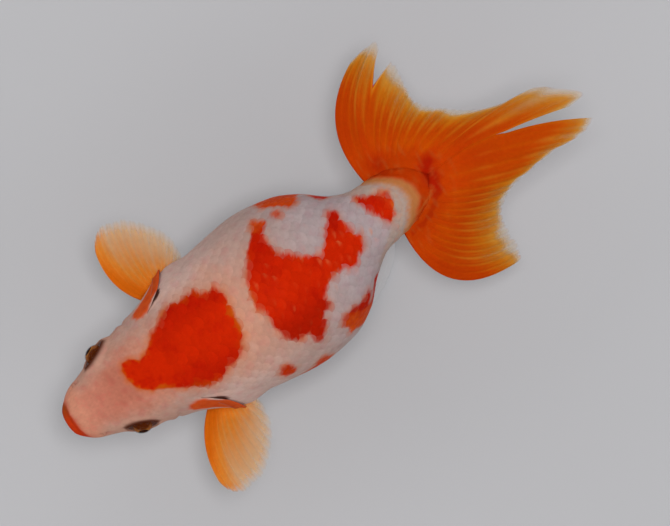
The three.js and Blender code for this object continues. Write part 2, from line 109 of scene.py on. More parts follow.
def ripple(x, y, size, seed=0):
    """Gentle noise between about -1 and 1: eight sine waves of like length in turned directions."""
    total = 0
    for k in range(8):
        angle = 2.4 * k + 0.9 * seed
        wave = 2 * math.pi * (0.8 + 0.11 * k) / size
        total = total + np.sin(wave * (x * math.cos(angle) + y * math.sin(angle)) + 1.7 * k * (seed + 1))
    return total / 4


def unit(v):
    """Vectors drawn to length 1."""
    return v / np.maximum(np.linalg.norm(v, axis=-1, keepdims=True), 1e-9)


def mix(a, b, share):
    """Blends two colours by an array of shares."""
    share = np.asarray(share, float)[..., None]
    return np.asarray(a) * (1 - share) + np.asarray(b) * share


def beside(line, x, y):
    """Distance in mm from an open line of points: the least of those from its straight stretches."""
    points = np.asarray(line, float)
    nearest = np.full(np.shape(x), 1e9)
    for (x0, y0), (x1, y1) in zip(points[:-1], points[1:]):
        edge = np.array([x1 - x0, y1 - y0])
        s = np.clip(((x - x0) * edge[0] + (y - y0) * edge[1]) / (edge @ edge), 0, 1)
        nearest = np.minimum(nearest, np.hypot(x - x0 - s * edge[0], y - y0 - s * edge[1]))
    return nearest


def inside(outline, x, y):
    """Distance in mm inside a closed outline, negative outside it, from its edges.

    A place is inside where an odd number of edges lies straight beyond it."""
    points = np.asarray(outline, float)
    within = np.zeros(np.shape(x), bool)
    for (x0, y0), (x1, y1) in zip(points, np.roll(points, -1, axis=0)):
        crosses = (y0 > y) != (y1 > y)
        rise = np.where(y1 == y0, 1, y1 - y0)
        within ^= crosses & (x < x0 + (y - y0) / rise * (x1 - x0))
    nearest = beside(np.vstack([points, points[:1]]), x, y)
    return np.where(within, nearest, -nearest)


# ---------------------------------------------------------------- the body's shape
# place along the fish, half width, back, belly, height of the widest line, bend to its left
STATIONS = np.array([
    [0, 7.3, 6.2, 5.8, 0, -0.1],  # snout
    [6, 8.1, 8.4, 7.8, 0.2, -0.2],  # nostrils
    [15, 11.3, 12.4, 12, 0.3, -0.3],  # eyes
    [22, 13.4, 15.6, 15, -0.3, -0.3],  # cheeks
    [32, 15.9, 19.6, 18.4, -1, -0.2],  # gills
    [42, 18.8, 22.8, 21.4, -1.8, 0],  # shoulders
    [52, 20.8, 24.6, 24, -2.4, -0.1],  # ribs
    [63, 22, 24.8, 25.5, -2.8, -0.3],  # girth
    [73, 20.6, 22.2, 24, -2.8, -0.4],  # loins
    [80, 17.2, 19.2, 19.6, -1.8, -0.7],  # vent
    [86, 11.9, 15.9, 13, 0, -1.5],  # stem root
    [92, 8.9, 12.4, 7.9, 1.4, -2.6],  # stem
    [98, 8.4, 9.6, 5.2, 1.4, -3.3],  # lower fin root
    [106, 6.6, 7.6, 2, 2.4, -3.9],  # upper fin root
    [112, 5, 7, -2.4, 4.6, -4.3],  # end of flesh
])
half, back, belly, widest, shift = (
    smooth_through(STATIONS[:, 0], STATIONS[:, k]) for k in range(1, 6)
)


def closing(along):
    """How open the section is: half an ellipse closes the snout and another the stem."""
    ahead = np.maximum(0, 1 - along / SNOUT_CAP)
    behind = np.maximum(0, 1 - (BODY_LENGTH - along) / STEM_CAP)
    return np.sqrt(np.maximum(0, 1 - ahead**2 - behind**2))


def body_point(along, turn, proud=0.0):
    """The body's surface, an oval of two half heights, a little squared, at each place along.

    turn runs from the back (0) over the fish's left side to the belly (pi), and negative over
    its right. proud moves the surface out."""
    opened = closing(along)
    reach = np.where(np.cos(turn) > 0, back(along) - widest(along), belly(along) + widest(along))
    full = 1 + FULLNESS * np.sin(2 * turn) ** 2
    across = (half(along) * opened + proud) * full * np.sin(turn)
    height = (reach * opened + proud) * full * np.cos(turn)
    return np.stack([shift(along) + across, along + 0 * turn, widest(along) + height], -1)


def skin_base(along, turn, proud=0.0):
    """The body's surface drawn in by the coat's depth, poles included."""
    spot = body_point(along, turn, (proud - COAT) * closing(along))
    toward_middle = np.where(along < BODY_LENGTH / 2, 1.0, -1.0)
    spot[..., 1] += toward_middle * (COAT - proud) * (1 - closing(along))
    return spot


def surface_normal(surface, u, v, step=0.02):
    """The outward normal of surface(u, v), from differences."""
    over_u = surface(u + step, v) - surface(u - step, v)
    over_v = surface(u, v + step / 10) - surface(u, v - step / 10)
    return unit(np.cross(over_v, over_u))


# ---------------------------------------------------------------- markings
# Red patches of the back, outlined as seen from above: [along, across].
CROWN = [
    [20.3, -5.3], [22.1, -5.3], [24.4, -3.6], [26.6, -4.1], [29, -6.4], [35.2, -10.1], [37.8, -11.3],
    [41.4, -10.9], [45.1, -11.4], [45.9, -9.7], [47.7, -8.8], [49.7, -9], [50.7, -6.9], [50.5, -1.3],
    [49.7, 4.4], [47.5, 6.3], [47.6, 7.8], [45.3, 9.2], [42.6, 8.9], [40.6, 10.5], [37.3, 11.2],
    [34.5, 10.4], [29.8, 7.4], [25.5, 5.1], [22.2, 3.5], [20.3, 1.3], [19.3, -1.6], [19.4, -4],
]
SADDLE = [
    [66.5, -17.5], [69.4, -16.1], [66.9, -13.9], [66.3, -12.4], [67.4, -8.2], [69.5, -6.1],
    [73, -3.1], [76.5, -1.3], [79.7, -4.5], [81, -6.8], [82.5, -7.7], [83.5, -9.6], [85.1, -9.1],
    [85.2, -5.6], [86.1, -3.2], [85.8, -1.8], [87.3, -0.5], [86, 2.9], [84.3, 2.9], [83.1, 4.5],
    [81.5, 5], [78.4, 3.8], [74.3, 4.9], [71, 7.8], [71.9, 9.9], [68.3, 11.4], [68.9, 12.5],
    [65.6, 16.2], [63.7, 15.7], [64.4, 12.7], [60.7, 13.2], [58.7, 11.5], [57.3, 7.1], [58, 3],
    [56.1, 0.6], [57.5, -5.8], [61.1, -11.1], [64.3, -14.7],
]
STEM_SPOT = [
    [91.6, -9.2], [93.7, -7.6], [98.6, -6.4], [99.1, -4.8], [97.8, -0.6], [95.7, 0.6], [93.6, -3.3],
    [91.8, -6.8],
]
# Red patches of the flanks, outlined by [along, degrees from the back]; negative on its right.
FLANKS = [
    [[69.8, -72], [70.5, -62], [72.6, -59], [74.8, -55], [76.3, -51], [77.8, -55], [79, -70],
     [80, -88], [78, -100], [72, -98], [69.5, -86]],
    [[71.8, -45.5], [73.1, -45.5], [73.1, -50.5], [71.8, -50.5]],
    [[81.5, -86], [82.6, -69], [83.6, -61], [85.2, -72], [84.5, -92], [82, -100]],
    [[71.7, 50], [73, 45], [76.3, 46], [78.2, 51], [81.7, 53], [81.5, 61], [79.9, 62], [80.1, 68],
     [82.2, 72], [84.8, 64], [86.2, 74], [85, 92], [80, 98], [76.5, 82], [74.4, 65], [72.7, 65],
     [72.8, 55]],
    [[52.3, 57], [53.4, 52], [54.8, 52], [56, 60], [54.7, 65], [53, 66]],
    [[56, 84], [60.2, 77], [62.1, 67], [63.7, 66], [65, 77], [64, 92], [60, 90]],
]
GILL_RED = [
    [28.2, 59], [29, 53], [30.8, 49.5], [33, 51], [35.6, 56.5], [38, 59.5], [40.4, 61], [41.8, 70],
    [41.8, 86], [40.2, 97], [38, 93], [36.2, 84], [34.2, 78], [31.6, 74], [29.4, 70], [28.2, 65],
]

PEARL = (0.41, 0.275, 0.235)
PEARL_REAR = (0.39, 0.31, 0.31)
BLUSH = (0.60, 0.25, 0.145)
SALMON = (0.52, 0.19, 0.125)
FLUSH = (0.42, 0.125, 0.076)
CHEEK = (0.48, 0.26, 0.19)
FLANK_ORANGE = (0.60, 0.082, 0.007)
# painted highlight: the colour of light glinting on the rims of wet scales
PAINTED_GLINT = (0.66, 0.18, 0.055)
SNOUT = (0.60, 0.245, 0.155)
RED = (0.54, 0.016, 0.001)
CRIMSON = (0.42, 0.007, 0.001)
DEEP_RED = (0.36, 0.009, 0.001)
LIP_RED = (0.49, 0.03, 0.002)
LIP_BROWN = (0.30, 0.045, 0.006)
ORANGE = (0.50, 0.085, 0.003)
ROOT_ORANGE = (0.42, 0.032, 0.001)
STEM_TAN = (0.43, 0.14, 0.028)
GILL_BROWN = (0.56, 0.058, 0.006)
GILL_ORANGE = (0.62, 0.08, 0.01)
EYE_BROWN = (0.065, 0.009, 0.001)
# painted shade for the mouth's opening, the nostril pits and the gill slits
PAINTED_SHADE = (0.04, 0.006, 0.002)

# The front edge of the tail's orange root, seen from above: it crosses the stem's middle here,
# and runs forward on both sides, by this much at most.
ROOT_EDGE = 105.2
ROOT_MIDDLE = -3.2
ROOT_SWEEP = 9.5
# Seen from above: the dark ridge where the flesh ends, and a pale fold before it. Down its left side the
# dark is painted shade where the tail's left half meets the flesh.
ROOT_RIDGE = [
    [111.8, -9.3], [111.1, -6.4], [110.2, -2], [110.2, 0.8], [107.8, 2.6], [105.8, 4.2], [99.5, 5.9],
]
ROOT_FOLD = [[108.9, -0.6], [107.4, 0.6], [104.2, 2.2], [101.5, 3.2]]
MM_PER_DEGREE = 0.3  # of turn on the flanks, for distances there


def root_distance(along, across):
    """How far behind the front edge of the tail's root a place lies, in mm.

    The edge is a parabola, blunter on the left, that stops running forward on the flanks."""
    bend = np.where(across > ROOT_MIDDLE, 0.08, 0.12)
    return along - ROOT_EDGE + np.minimum(bend * (across - ROOT_MIDDLE) ** 2, ROOT_SWEEP)


def root_markings(colour, along, across, share=1.0):
    """Adds to skin or fin what marks the fleshy root of the tail: a dark red ridge that thins out
    down its left side, where its dark is painted shade at the meeting of flesh and tail, a second
    dark spot on its right, and thin tan folds."""
    wander = ripple(along, across, 3.3, 6)
    wide = 0.7 + 1.8 * ease(across, 3, -3)
    # the ridge's own dark red, and down its left side painted shade where the left half of the tail meets
    # the flesh
    dark = ease(beside(ROOT_RIDGE, along, across) + 0.5 * wander, 1.45 * wide, 0.25 * wide)
    dark = dark * (1 - 0.5 * ease(across, -1, 3)) * ease(across, -10.5, -7)
    spot = np.exp(-((along - 100.8) ** 2 + (0.8 * (across + 13.2)) ** 2) / 5.0)
    colour = mix(colour, DEEP_RED, share * np.maximum(0.95 * dark, 0.6 * spot))
    pale = ease(beside(ROOT_FOLD, along, across) + 0.15 * wander, 0.45, 0.1)
    streaks = ease(ripple(0.6 * across, 2.2 * along, 4.5, 9), 0.1, 0.9)
    return mix(colour, STEM_TAN, share * np.maximum(0.35 * pale, 0.16 * streaks))


def ground_colour(along, turn, across, wander, fine):
    """The colour between the patches: a pink face, a blush behind it, and pearl that cools
    towards the tail, with rosy mottling over all."""
    low = np.abs(np.degrees(turn))
    pale = mix(PEARL, PEARL_REAR, ease(along + 2 * wander, 60, 84))
    warm = ease(along, 72, 44) * ease(low + 8 * wander, 62, 12)
    pale = mix(pale, BLUSH, 0.85 * warm)
    # painted light: the pearl is lightened on the flanks by the shoulders, where they turn away from the
    # light
    pale = pale * (1 + 0.3 * ease(np.abs(across), 10, 16) * hump(along, 40, 14))[..., None]
    face = mix(SALMON, CHEEK, ease(low + 7 * wander, 18, 55))
    face = mix(face, FLUSH, 0.6 * hump(along + wander, 16.5, 5) * hump(low + 6 * wander, 8, 24))
    face = mix(face, SNOUT, ease(along, 9, 4))
    colour = mix(face, pale, ease(along + 2.5 * wander, 17, 35))
    colour = mix(colour, PEARL, 0.7 * ease(low, 100, 150))
    colour = colour * (1 + 0.06 * wander + 0.05 * fine)[..., None]
    rosy = ease(ripple(along, half(along) * turn, 4.3, 8) + 0.5 * fine, 0.1, 0.9)
    return colour * (1 - np.array([0.02, 0.13, 0.10]) * rosy[..., None])


def patch_depth(along, turn, across):
    """How deep in a red patch a place lies, in mm, with a slightly uneven rim; negative outside."""
    degrees = np.degrees(turn)
    depth = np.full(np.shape(along), -1e9)
    for outline in (CROWN, SADDLE, STEM_SPOT):
        depth = np.maximum(depth, np.where(np.abs(degrees) < 88, inside(outline, along, across), -1e9))
    for outline in FLANKS:
        even = np.multiply(outline, [1, MM_PER_DEGREE])
        depth = np.maximum(depth, inside(even, along, degrees * MM_PER_DEGREE))
    return depth + 0.3 + 0.12 * ripple(along, half(along) * turn, 2.6, 7)


def patch_colour(along, across, depth, wander, fine):
    """The red of a patch: orange at its rim, crimson here and there and beside the back, darkest
    on the left of the saddle, and orange again low on the flanks."""
    firm = 0.6 * ease(along, 48, 56)
    red = mix(ORANGE, RED, ease(depth + firm + 1.1 * wander + 0.2 * fine, -0.3, 1.1))
    deep = 0.6 * ease(wander + 0.3 * fine, 0, 0.9) + 0.6 * ease(np.abs(across), 2, 9)
    red = mix(red, CRIMSON, np.clip(deep, 0, 1))
    red = mix(red, DEEP_RED, 0.7 * ease(across, 5, 10) * ease(along, 50, 58))
    flank = ease(np.abs(across) + 1.5 * wander, 14.8, 16.8) * (0.4 + 0.6 * ease(along, 56, 68))
    return mix(red, FLANK_ORANGE, (0.6 + 0.25 * fine) * flank)


def add_root(colour, along, across, wander, fine):
    """Adds the root of the tail: yellowing skin, tan folds, then orange flesh behind the edge."""
    rear = root_distance(along, across) + 0.4 * wander
    colour = colour * (1 - np.array([0, 0.01, 0.15]) * ease(rear, -10, -6)[..., None])
    folds = 0.3 * hump(rear, -4.9, 0.5) + 0.15 * hump(rear, -7.2, 0.7)
    colour = mix(colour, STEM_TAN, folds * (0.8 + 0.4 * fine))
    colour = mix(colour, STEM_TAN, 0.92 * ease(rear + 0.3 * fine, -4.3, -1.5))
    colour = mix(colour, ROOT_ORANGE, ease(rear, -0.8, 1.0))
    return root_markings(colour, along, across, ease(rear, 0, 1))


def add_lips(colour, along, turn, across, wander):
    """Adds the red lips round the blunt snout, narrower and browner on the right and below."""
    lips = along - 2.0 - 0.07 * across - 0.016 * across**2 + 0.25 * wander
    lips = np.where(np.abs(np.degrees(turn)) < 100, lips, lips + 1.2)
    colour = mix(colour, LIP_RED, 0.4 * ease(lips, 1.3, -0.2))
    lip = mix(LIP_RED, LIP_BROWN, ease(across, 0.5, -4.5))
    return mix(colour, lip, 0.96 * ease(lips, 0.35, -0.45))


def hide_colour(along, turn, blur=0.3):
    """The colour of skin or scale at a place: the ground, the patches, the tail's root, the lips.

    A patch fades in over blur mm, and stains the ground orange a little way beyond its rim."""
    across = body_point(along, turn)[..., 0]
    arc = half(along) * turn
    wander = 0.6 * ripple(along, arc, 9, 1) + 0.4 * ripple(along, arc, 3.1, 2)
    fine = ripple(along, arc, 1.3, 7)
    colour = ground_colour(along, turn, across, wander, fine)
    depth = patch_depth(along, turn, across)
    stain = ease(depth, -2.2, 0) ** 1.5 * np.clip(0.35 + 0.7 * wander, 0, 0.9)
    colour = mix(colour, ORANGE, stain)
    colour = mix(colour, patch_colour(along, across, depth, wander, fine), ease(depth, -blur, blur))
    colour = add_root(colour, along, across, wander, fine)
    return add_lips(colour, along, turn, across, wander)


# ---------------------------------------------------------------- meshes
def add_piece(name, points, face_sets, material, replaces=()):
    """A smooth mesh that rides on the model's one body, from points in mm and sets of faces.

    Each set is an array with one row for each face, which holds the numbers of its corners."""
    mesh = bpy.data.meshes.new(name)
    points = place(points).reshape(-1, 3)
    corners = np.concatenate([faces.ravel() for faces in face_sets])
    sizes = np.concatenate([np.full(len(faces), faces.shape[1]) for faces in face_sets])
    mesh.vertices.add(len(points))
    mesh.vertices.foreach_set("co", points.astype(np.float32).ravel())
    mesh.loops.add(len(corners))
    mesh.loops.foreach_set("vertex_index", corners.astype(np.int32))
    mesh.polygons.add(len(sizes))
    mesh.polygons.foreach_set("loop_start", (np.cumsum(sizes) - sizes).astype(np.int32))
    mesh.update(calc_edges=True)
    mesh.validate()
    mesh.polygons.foreach_set("use_smooth", np.ones(len(sizes), bool))
    mesh.materials.append(material)
    piece = bpy.data.objects.new(name, mesh)
    bpy.context.scene.collection.objects.link(piece)
    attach(piece, "root")
    if replaces:
        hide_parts(*replaces)
    return piece


def set_colours(piece, values):
    """The tint that its finish reads: one for each vertex, alpha 1 where three numbers are given."""
    values = np.asarray(values, float).reshape(len(piece.data.vertices), -1)
    if values.shape[1] == 3:
        values = np.concatenate([values, np.ones((len(values), 1))], 1)
    attribute = piece.data.attributes.new("tint", "FLOAT_COLOR", "POINT")
    attribute.data.foreach_set("color", values.astype(np.float32).ravel())


def set_bake_map(piece, uv):
    """The map the finish is baked on: one place for each vertex."""
    loops = np.empty(len(piece.data.loops), np.int32)
    piece.data.loops.foreach_get("vertex_index", loops)
    layer = piece.data.uv_layers.new(name="OFBake")
    layer.data.foreach_set("uv", np.asarray(uv, np.float32).reshape(-1, 2)[loops].ravel())


def grid_faces(rows, columns, wrap=False):
    """Quads of a grid of vertices, row by row; wrap joins its last column to its first."""
    i, j = np.meshgrid(np.arange(rows - 1), np.arange(columns if wrap else columns - 1), indexing="ij")
    here = i * columns + j
    right = i * columns + (j + 1) % columns
    return np.stack([here, here + columns, right + columns, right], -1).reshape(-1, 4)


def capped(rings):
    """Values on stacked rings, and after them the means of the first and last, which close the ends."""
    return np.concatenate([rings.reshape(-1, rings.shape[-1]), rings[:1].mean(1), rings[-1:].mean(1)])


def capped_faces(rows, columns):
    """The quads of stacked rings, and the triangles between each end ring and its middle point."""
    j = np.arange(columns)
    following = (j + 1) % columns
    first, last = rows * columns, rows * columns + 1
    start = np.stack([np.full(columns, first), j, following], -1)
    final = (rows - 1) * columns
    finish = np.stack([final + j, np.full(columns, last), final + following], -1)
    return grid_faces(rows, columns, wrap=True), np.concatenate([start, finish])


# ---------------------------------------------------------------- materials
def new_material(name):
    """A new material, its node tree and its main shader."""
    material = bpy.data.materials.new(name)
    material.use_nodes = True
    tree = material.node_tree
    shader = tree.nodes["Principled BSDF"]
    return material, tree, shader


def node(tree, kind, **settings):
    """A new shader node; each setting is the value of a socket, or else one of its own."""
    made = tree.nodes.new(kind)
    for key, value in settings.items():
        if key in made.inputs:
            made.inputs[key].default_value = value
        else:
            setattr(made, key, value)
    return made


def noise_on(tree, **settings):
    """Noise on Object coordinates, 0 to 1."""
    where = node(tree, "ShaderNodeTexCoord")
    grain = node(tree, "ShaderNodeTexNoise", **settings)
    tree.links.new(where.outputs["Object"], grain.inputs["Vector"])
    return grain.outputs["Fac"]


def from_to(tree, value, low, high):
    """A value of 0 to 1, spread out from low to high."""
    span = node(tree, "ShaderNodeMapRange", **{"To Min": low, "To Max": high})
    tree.links.new(value, span.inputs["Value"])
    return span.outputs["Result"]


def add_bump(tree, shader, height, strength, depth):
    """Tilts the shader's normal as if the surface rose by depth, in metres, with height."""
    bump = node(tree, "ShaderNodeBump", Strength=strength, Distance=depth)
    tree.links.new(height, bump.inputs["Height"])
    tree.links.new(bump.outputs["Normal"], shader.inputs["Normal"])


def wet_finish(name, roughness, bump_scale, bump_depth, gloss, subsurface=0.04, alpha=False):
    """Wet living tissue: the piece's own tint, lightened and darkened by fine noise, and pored."""
    material, tree, shader = new_material(name)
    tint = node(tree, "ShaderNodeAttribute", attribute_name="tint")
    mottle = noise_on(tree, Scale=900.0, Detail=3.0, Roughness=0.55)
    shade = node(tree, "ShaderNodeHueSaturation")
    tree.links.new(tint.outputs["Color"], shade.inputs["Color"])
    tree.links.new(from_to(tree, mottle, 0.88, 1.12), shade.inputs["Value"])
    tree.links.new(shade.outputs["Color"], shader.inputs["Base Color"])
    pores = noise_on(tree, Scale=bump_scale, Detail=4.0, Roughness=0.6)
    add_bump(tree, shader, pores, 0.35, bump_depth)
    shader.inputs["Roughness"].default_value = roughness
    shader.inputs["Specular IOR Level"].default_value = gloss
    shader.inputs["Subsurface Weight"].default_value = subsurface
    shader.inputs["Subsurface Radius"].default_value = (1.0, 0.45, 0.3)
    shader.inputs["Subsurface Scale"].default_value = 0.0012
    if alpha:
        tree.links.new(tint.outputs["Alpha"], shader.inputs["Alpha"])
    return material


skin_finish = wet_finish("wet_skin", 0.42, 1600.0, 0.00008, gloss=0.003)
scale_finish = wet_finish("pearly_scales", 0.4, 2400.0, 0.00003, gloss=0.004)
fin_finish = wet_finish("fin_membrane", 0.5, 2600.0, 0.00004, gloss=0.004, subsurface=0.15, alpha=True)

# ---------------------------------------------------------------- skin
AROUND = 320
EYE_ALONG = {1: 16.6, -1: 16.0}
EYE_ACROSS = {1: 8.5, -1: 8.9}  # the left eye lies nearer in and looks up more
EYE_TURN = {1: math.radians(21), -1: math.radians(26)}  # how far each looks ahead
EYE_TILT = {1: 0.27, -1: 0.19}  # and up
RIM_RADIUS = 3.8  # of the round opening in the skin
RIM_OUT = math.sqrt(EYE_RADIUS**2 - RIM_RADIUS**2)  # of its plane from the eye's middle

NOSTRIL_TURN = 1.08
# The skin's rings: round the snout, over the cheeks, through the fold, over the body, and its end.
SNOUT_RINGS = 46
CHEEK_RINGS = 95
FOLD_RINGS = 23
BODY_RINGS = 109
END_RINGS = 15
END_START = 0.35  # how far round its quarter circle the end cap starts
FIRST_FOLD_RING = SNOUT_RINGS + CHEEK_RINGS
FLAP = {"along": 28.6, "height": -1.5, "half_height": 15.0, "behind": 11.3, "flare": 2.6, "under": 3.4}
FLAP_START = 24.5  # where the gill covers begin to rise
FOLD_LENGTH = 1.6  # from a gill cover's free edge back to the open body
SLIT_WIDEST = (35.0, 1.4)  # where along the fish the gill slits are widest, and over how much


def eye_frame(side):
    """The middle of an eye and the way it looks."""
    along = EYE_ALONG[side]
    middle = np.array([float(shift(along)) + side * EYE_ACROSS[side], along, EYE_HEIGHT])
    look = unit(np.array([side * math.cos(EYE_TURN[side]), -math.sin(EYE_TURN[side]), EYE_TILT[side]]))
    return middle, look


def eye_distances(points, middle, look):
    """How far points lie out along the way an eye looks, and how far from that line."""
    offset = points - middle
    out = offset @ look
    return out, np.linalg.norm(offset - out[..., None] * look, axis=-1)


def flap_edge(turn):
    """For each line along the body: where the gill cover's free edge crosses it, how free it is
    there, how far it stands out, and how nearly it is in the open slit above.

    The edge is an oval seen from the side; it is fast at its top and under the throat."""
    height = body_point(np.full(np.shape(turn), 33.0), turn)[..., 2]
    level = (height - FLAP["height"]) / FLAP["half_height"]
    edge = FLAP["along"] + FLAP["behind"] * np.maximum(0.03, 1 - level**2) ** 0.36
    free = ease(level, 1.02, 0.88) * ease(level, -1.0, -0.85)
    flare = free * (0.9 + (FLAP["flare"] - 0.9) * ease(level, 0.8, 0.0))
    slit = free * ease(level, 0.66, 0.76)
    return edge, free, flare, slit


def skin_rings():
    """For every ring and column: place along, turn, and how far out of the body, of the whole skin.

    The rings crowd round the snout, follow the gill covers' free edges, fold under them and
    out again, and run on to the end of the stem."""
    turn = np.linspace(-math.pi, math.pi, AROUND, endpoint=False)[None, :]
    edge, free, flare, slit = flap_edge(turn)
    cap = SNOUT_CAP * (1 - np.cos(np.linspace(0.03, 1.25, SNOUT_RINGS)))[:, None]
    first = cap[-1]
    share = np.linspace(0, 1, CHEEK_RINGS + 1)[1:, None]
    cheek = first + share * (edge - first)
    ahead = np.concatenate([cap + 0 * turn, cheek])
    lift = flare * np.clip((ahead - FLAP_START) / (edge - FLAP_START), 0, 1) ** 2.3
    fold = np.linspace(0, 1, FOLD_RINGS + 1)[1:, None]
    deepest = -FLAP["under"]
    slide = smooth_through([0, 0.1, 0.2, 0.55, 0.65, 1], [0, 0.15, -0.25, deepest, deepest, 0])(fold)
    shoulder = 0.55 + 0.1 * ease(np.abs(turn), 0.8, 1.2)
    under = smooth_through([0, 0.1, 0.2, 0.5], [0, 0.35, 0.85, 1])(fold)
    within = smooth_through([0.5, 0.65, 1], [0, 1, 1])(fold)
    folded = edge + FOLD_LENGTH * fold + free * slide
    lining = 1 - under * (0.9 - shoulder) * 0.7
    pocket = shoulder - 0.12
    folded_lift = flare * (lining + (pocket + (shoulder - pocket) * fold - lining) * within)
    folded_lift = folded_lift - 0.8 * slit * hump(fold, 0.5, 0.2)
    rest = np.linspace(0, 1, BODY_RINGS + 1)[1:, None]
    last = BODY_LENGTH - STEM_CAP * (1 - math.sin(END_START))
    behind = (edge + FOLD_LENGTH) + rest * (last - edge - FOLD_LENGTH)
    round_end = np.linspace(END_START, 1.53, END_RINGS + 1)[1:, None]
    end = BODY_LENGTH - STEM_CAP * (1 - np.sin(round_end)) + 0 * turn
    along = np.concatenate([ahead, folded, behind, end])
    slope = flare * shoulder * ease(behind - edge, 9.0, 1.2)
    proud = np.concatenate([lift, folded_lift, slope, 0 * end])
    return along, np.broadcast_to(turn, along.shape), proud


def mouth_place(points):
    """How far across places lie from the middle of the mouth, and how far above its line, which
    droops to its corners."""
    across = points[..., 0] - float(shift(0.0))
    return across, points[..., 2] - 0.15 + 0.05 * across**2


def mouth_relief(points):
    """How far the lips and the line between them stand out, seen from the front.

    Two rolls, above and below the line, with a crease beyond each."""
    across, line = mouth_place(points)
    on = ease(np.abs(across), 6.0, 2.5)
    upper = 0.5 * hump(line, 1.3, 0.95) - 0.3 * hump(line, 3.0, 0.5)
    lower = 0.45 * hump(line, -1.25, 0.85) - 0.25 * hump(line, -2.9, 0.5)
    opening = -2.0 * hump(line, 0, 0.32) * ease(np.abs(across), 5.2, 4.2)
    return on * (upper + lower) + opening


def skin_relief(along, turn, base):
    """How far lips, nostrils, the edge of the cheek plate and the tail root's folds stand out."""
    relief = ease(along, 6.0, 3.5) * mouth_relief(base)
    # nostrils: two little pits with a flap between them, on each side of the snout
    for side in (-1, 1):
        reach = (half(along) * (turn - side * NOSTRIL_TURN)) ** 2
        for spot, deep, wide in ((5.9, -0.5, 0.5), (7.4, -0.6, 0.55), (6.7, 0.9, 0.42)):
            relief += deep * np.exp(-((along - spot) ** 2 + reach) / wide**2)
    # a ridge along the hind edge of the cheek plate, and a crease before the gill cover
    arc = half(along) * turn
    cheek_line = along - 24.2 - 0.045 * (np.degrees(np.abs(turn)) - 92) ** 2 / 40
    on_side = ease(np.abs(turn), 0.75, 1.1) * ease(np.abs(turn), 2.35, 2.0)
    relief += on_side * (0.22 * hump(cheek_line, -0.9, 0.9) - 0.3 * hump(cheek_line, 0.4, 0.5))
    relief += 0.1 * ripple(along, arc, 6, 4) * ease(along, 4, 12) * ease(along, 34, 26)
    # folds across the root of the tail
    rear = root_distance(along, base[..., 0]) + 0.4 * ripple(along, arc, 5, 3)
    return relief + 0.16 * np.sin(2.4 * rear) * ease(rear, -7, -5) * ease(np.cos(turn), -0.2, 0.2)


def skin_normal(along, turn, margin):
    """The outward normal of the plain skin; the places are held margin mm off its two ends."""

    def held(u, v):
        return skin_base(np.clip(u, margin, BODY_LENGTH - margin), v)

    return surface_normal(held, along, turn)


def skin_points():
    """The skin: the body's surface with its relief, then drawn to a raised rim round each eye."""
    along, turn, proud = skin_rings()
    base = skin_base(along, turn, proud)
    relief = skin_relief(along, turn, base)
    points = base + skin_normal(along, turn, 0.02) * relief[..., None]
    for side in (-1, 1):
        middle, look = eye_frame(side)
        out, radius = eye_distances(points, middle, look)
        near = ease(radius, 6.6, 4.3) * (out > -1.5)
        rim = RIM_OUT + 0.28 * hump(radius, RIM_RADIUS + 0.35, 0.5)
        rim = rim - 2.4 * ease(radius, RIM_RADIUS + 0.05, RIM_RADIUS - 0.5)
        points = points + look * (near * (rim - out))[..., None]
    return points, along, turn


def skin_colours(points, along, turn):
    """The markings, with painted shade inside the mouth, the nostrils and the gill slits, and darker
    round the eyes.
    """
    colour = hide_colour(along, turn)
    across, line = mouth_place(points)
    # painted shade inside the mouth's opening
    slit = hump(line, 0, 0.4) * ease(np.abs(across), 5.2, 4.4) * ease(along, 4, 2.5)
    colour = mix(colour, PAINTED_SHADE, 0.8 * slit)
    for side in (-1, 1):
        middle, look = eye_frame(side)
        out, radius = eye_distances(points, middle, look)
        above = ease(points[..., 2] - middle[2], 0.5, 2.8)
        shade = ease(radius, RIM_RADIUS + 0.6 + 1.4 * above, RIM_RADIUS + 0.2 + 0.4 * above)
        shade = shade * (0.5 + 0.5 * above)
        colour = mix(colour, EYE_BROWN, 0.95 * shade * (out > 0))
        # painted shade in the nostril pits
        nostril = (along - 6.8) ** 2 + (half(along) * (turn - side * NOSTRIL_TURN)) ** 2
        colour = mix(colour, PAINTED_SHADE, 0.25 * np.exp(-nostril / 0.9))
    degrees = np.degrees(np.abs(turn))
    arc = half(along) * turn
    red = inside(np.multiply(GILL_RED, [1, MM_PER_DEGREE]), along, degrees * MM_PER_DEGREE)
    red = red + 0.3 * ripple(along, arc, 2.5, 5)
    ring = np.arange(len(along))[:, None]
    cover = ease(ring, FIRST_FOLD_RING + 13, FIRST_FOLD_RING + 9) * ease(np.abs(turn), 2.4, 2.2)
    gill_red = mix(GILL_BROWN, GILL_ORANGE, 0.5 + 0.5 * ripple(along, arc, 3.5, 9))
    colour = mix(colour, gill_red, 0.98 * ease(red, -0.7, 0.7) * cover)
    edge, free, _, slit = flap_edge(turn[:1])
    # how far behind the edge the painted shade of the gill slit reaches
    reach = slit * (1.25 + 1.2 * hump(edge, *SLIT_WIDEST)) - 0.3
    # painted shade in the gill slits, behind the covers' free edges
    painted_slit_shade = ease(ring, FIRST_FOLD_RING + 5, FIRST_FOLD_RING + 9)
    painted_slit_shade = painted_slit_shade * ease(along - edge, reach + 0.2, reach - 0.2)
    return mix(colour, PAINTED_SHADE, painted_slit_shade * (0.2 * free + 0.75 * slit))


FLESH_NODES = (
    "head", "trunk", "tail_stem", "lip_upper", "lip_lower", "gill_cover_left", "gill_cover_right",
)


def make_skin():
    """One closed skin in place of all the nodes of flesh."""
    points, along, turn = skin_points()
    skin = add_piece(
        "skin", capped(points), capped_faces(*along.shape), skin_finish, FLESH_NODES
    )
    set_colours(skin, capped(skin_colours(points, along, turn)))


make_skin()

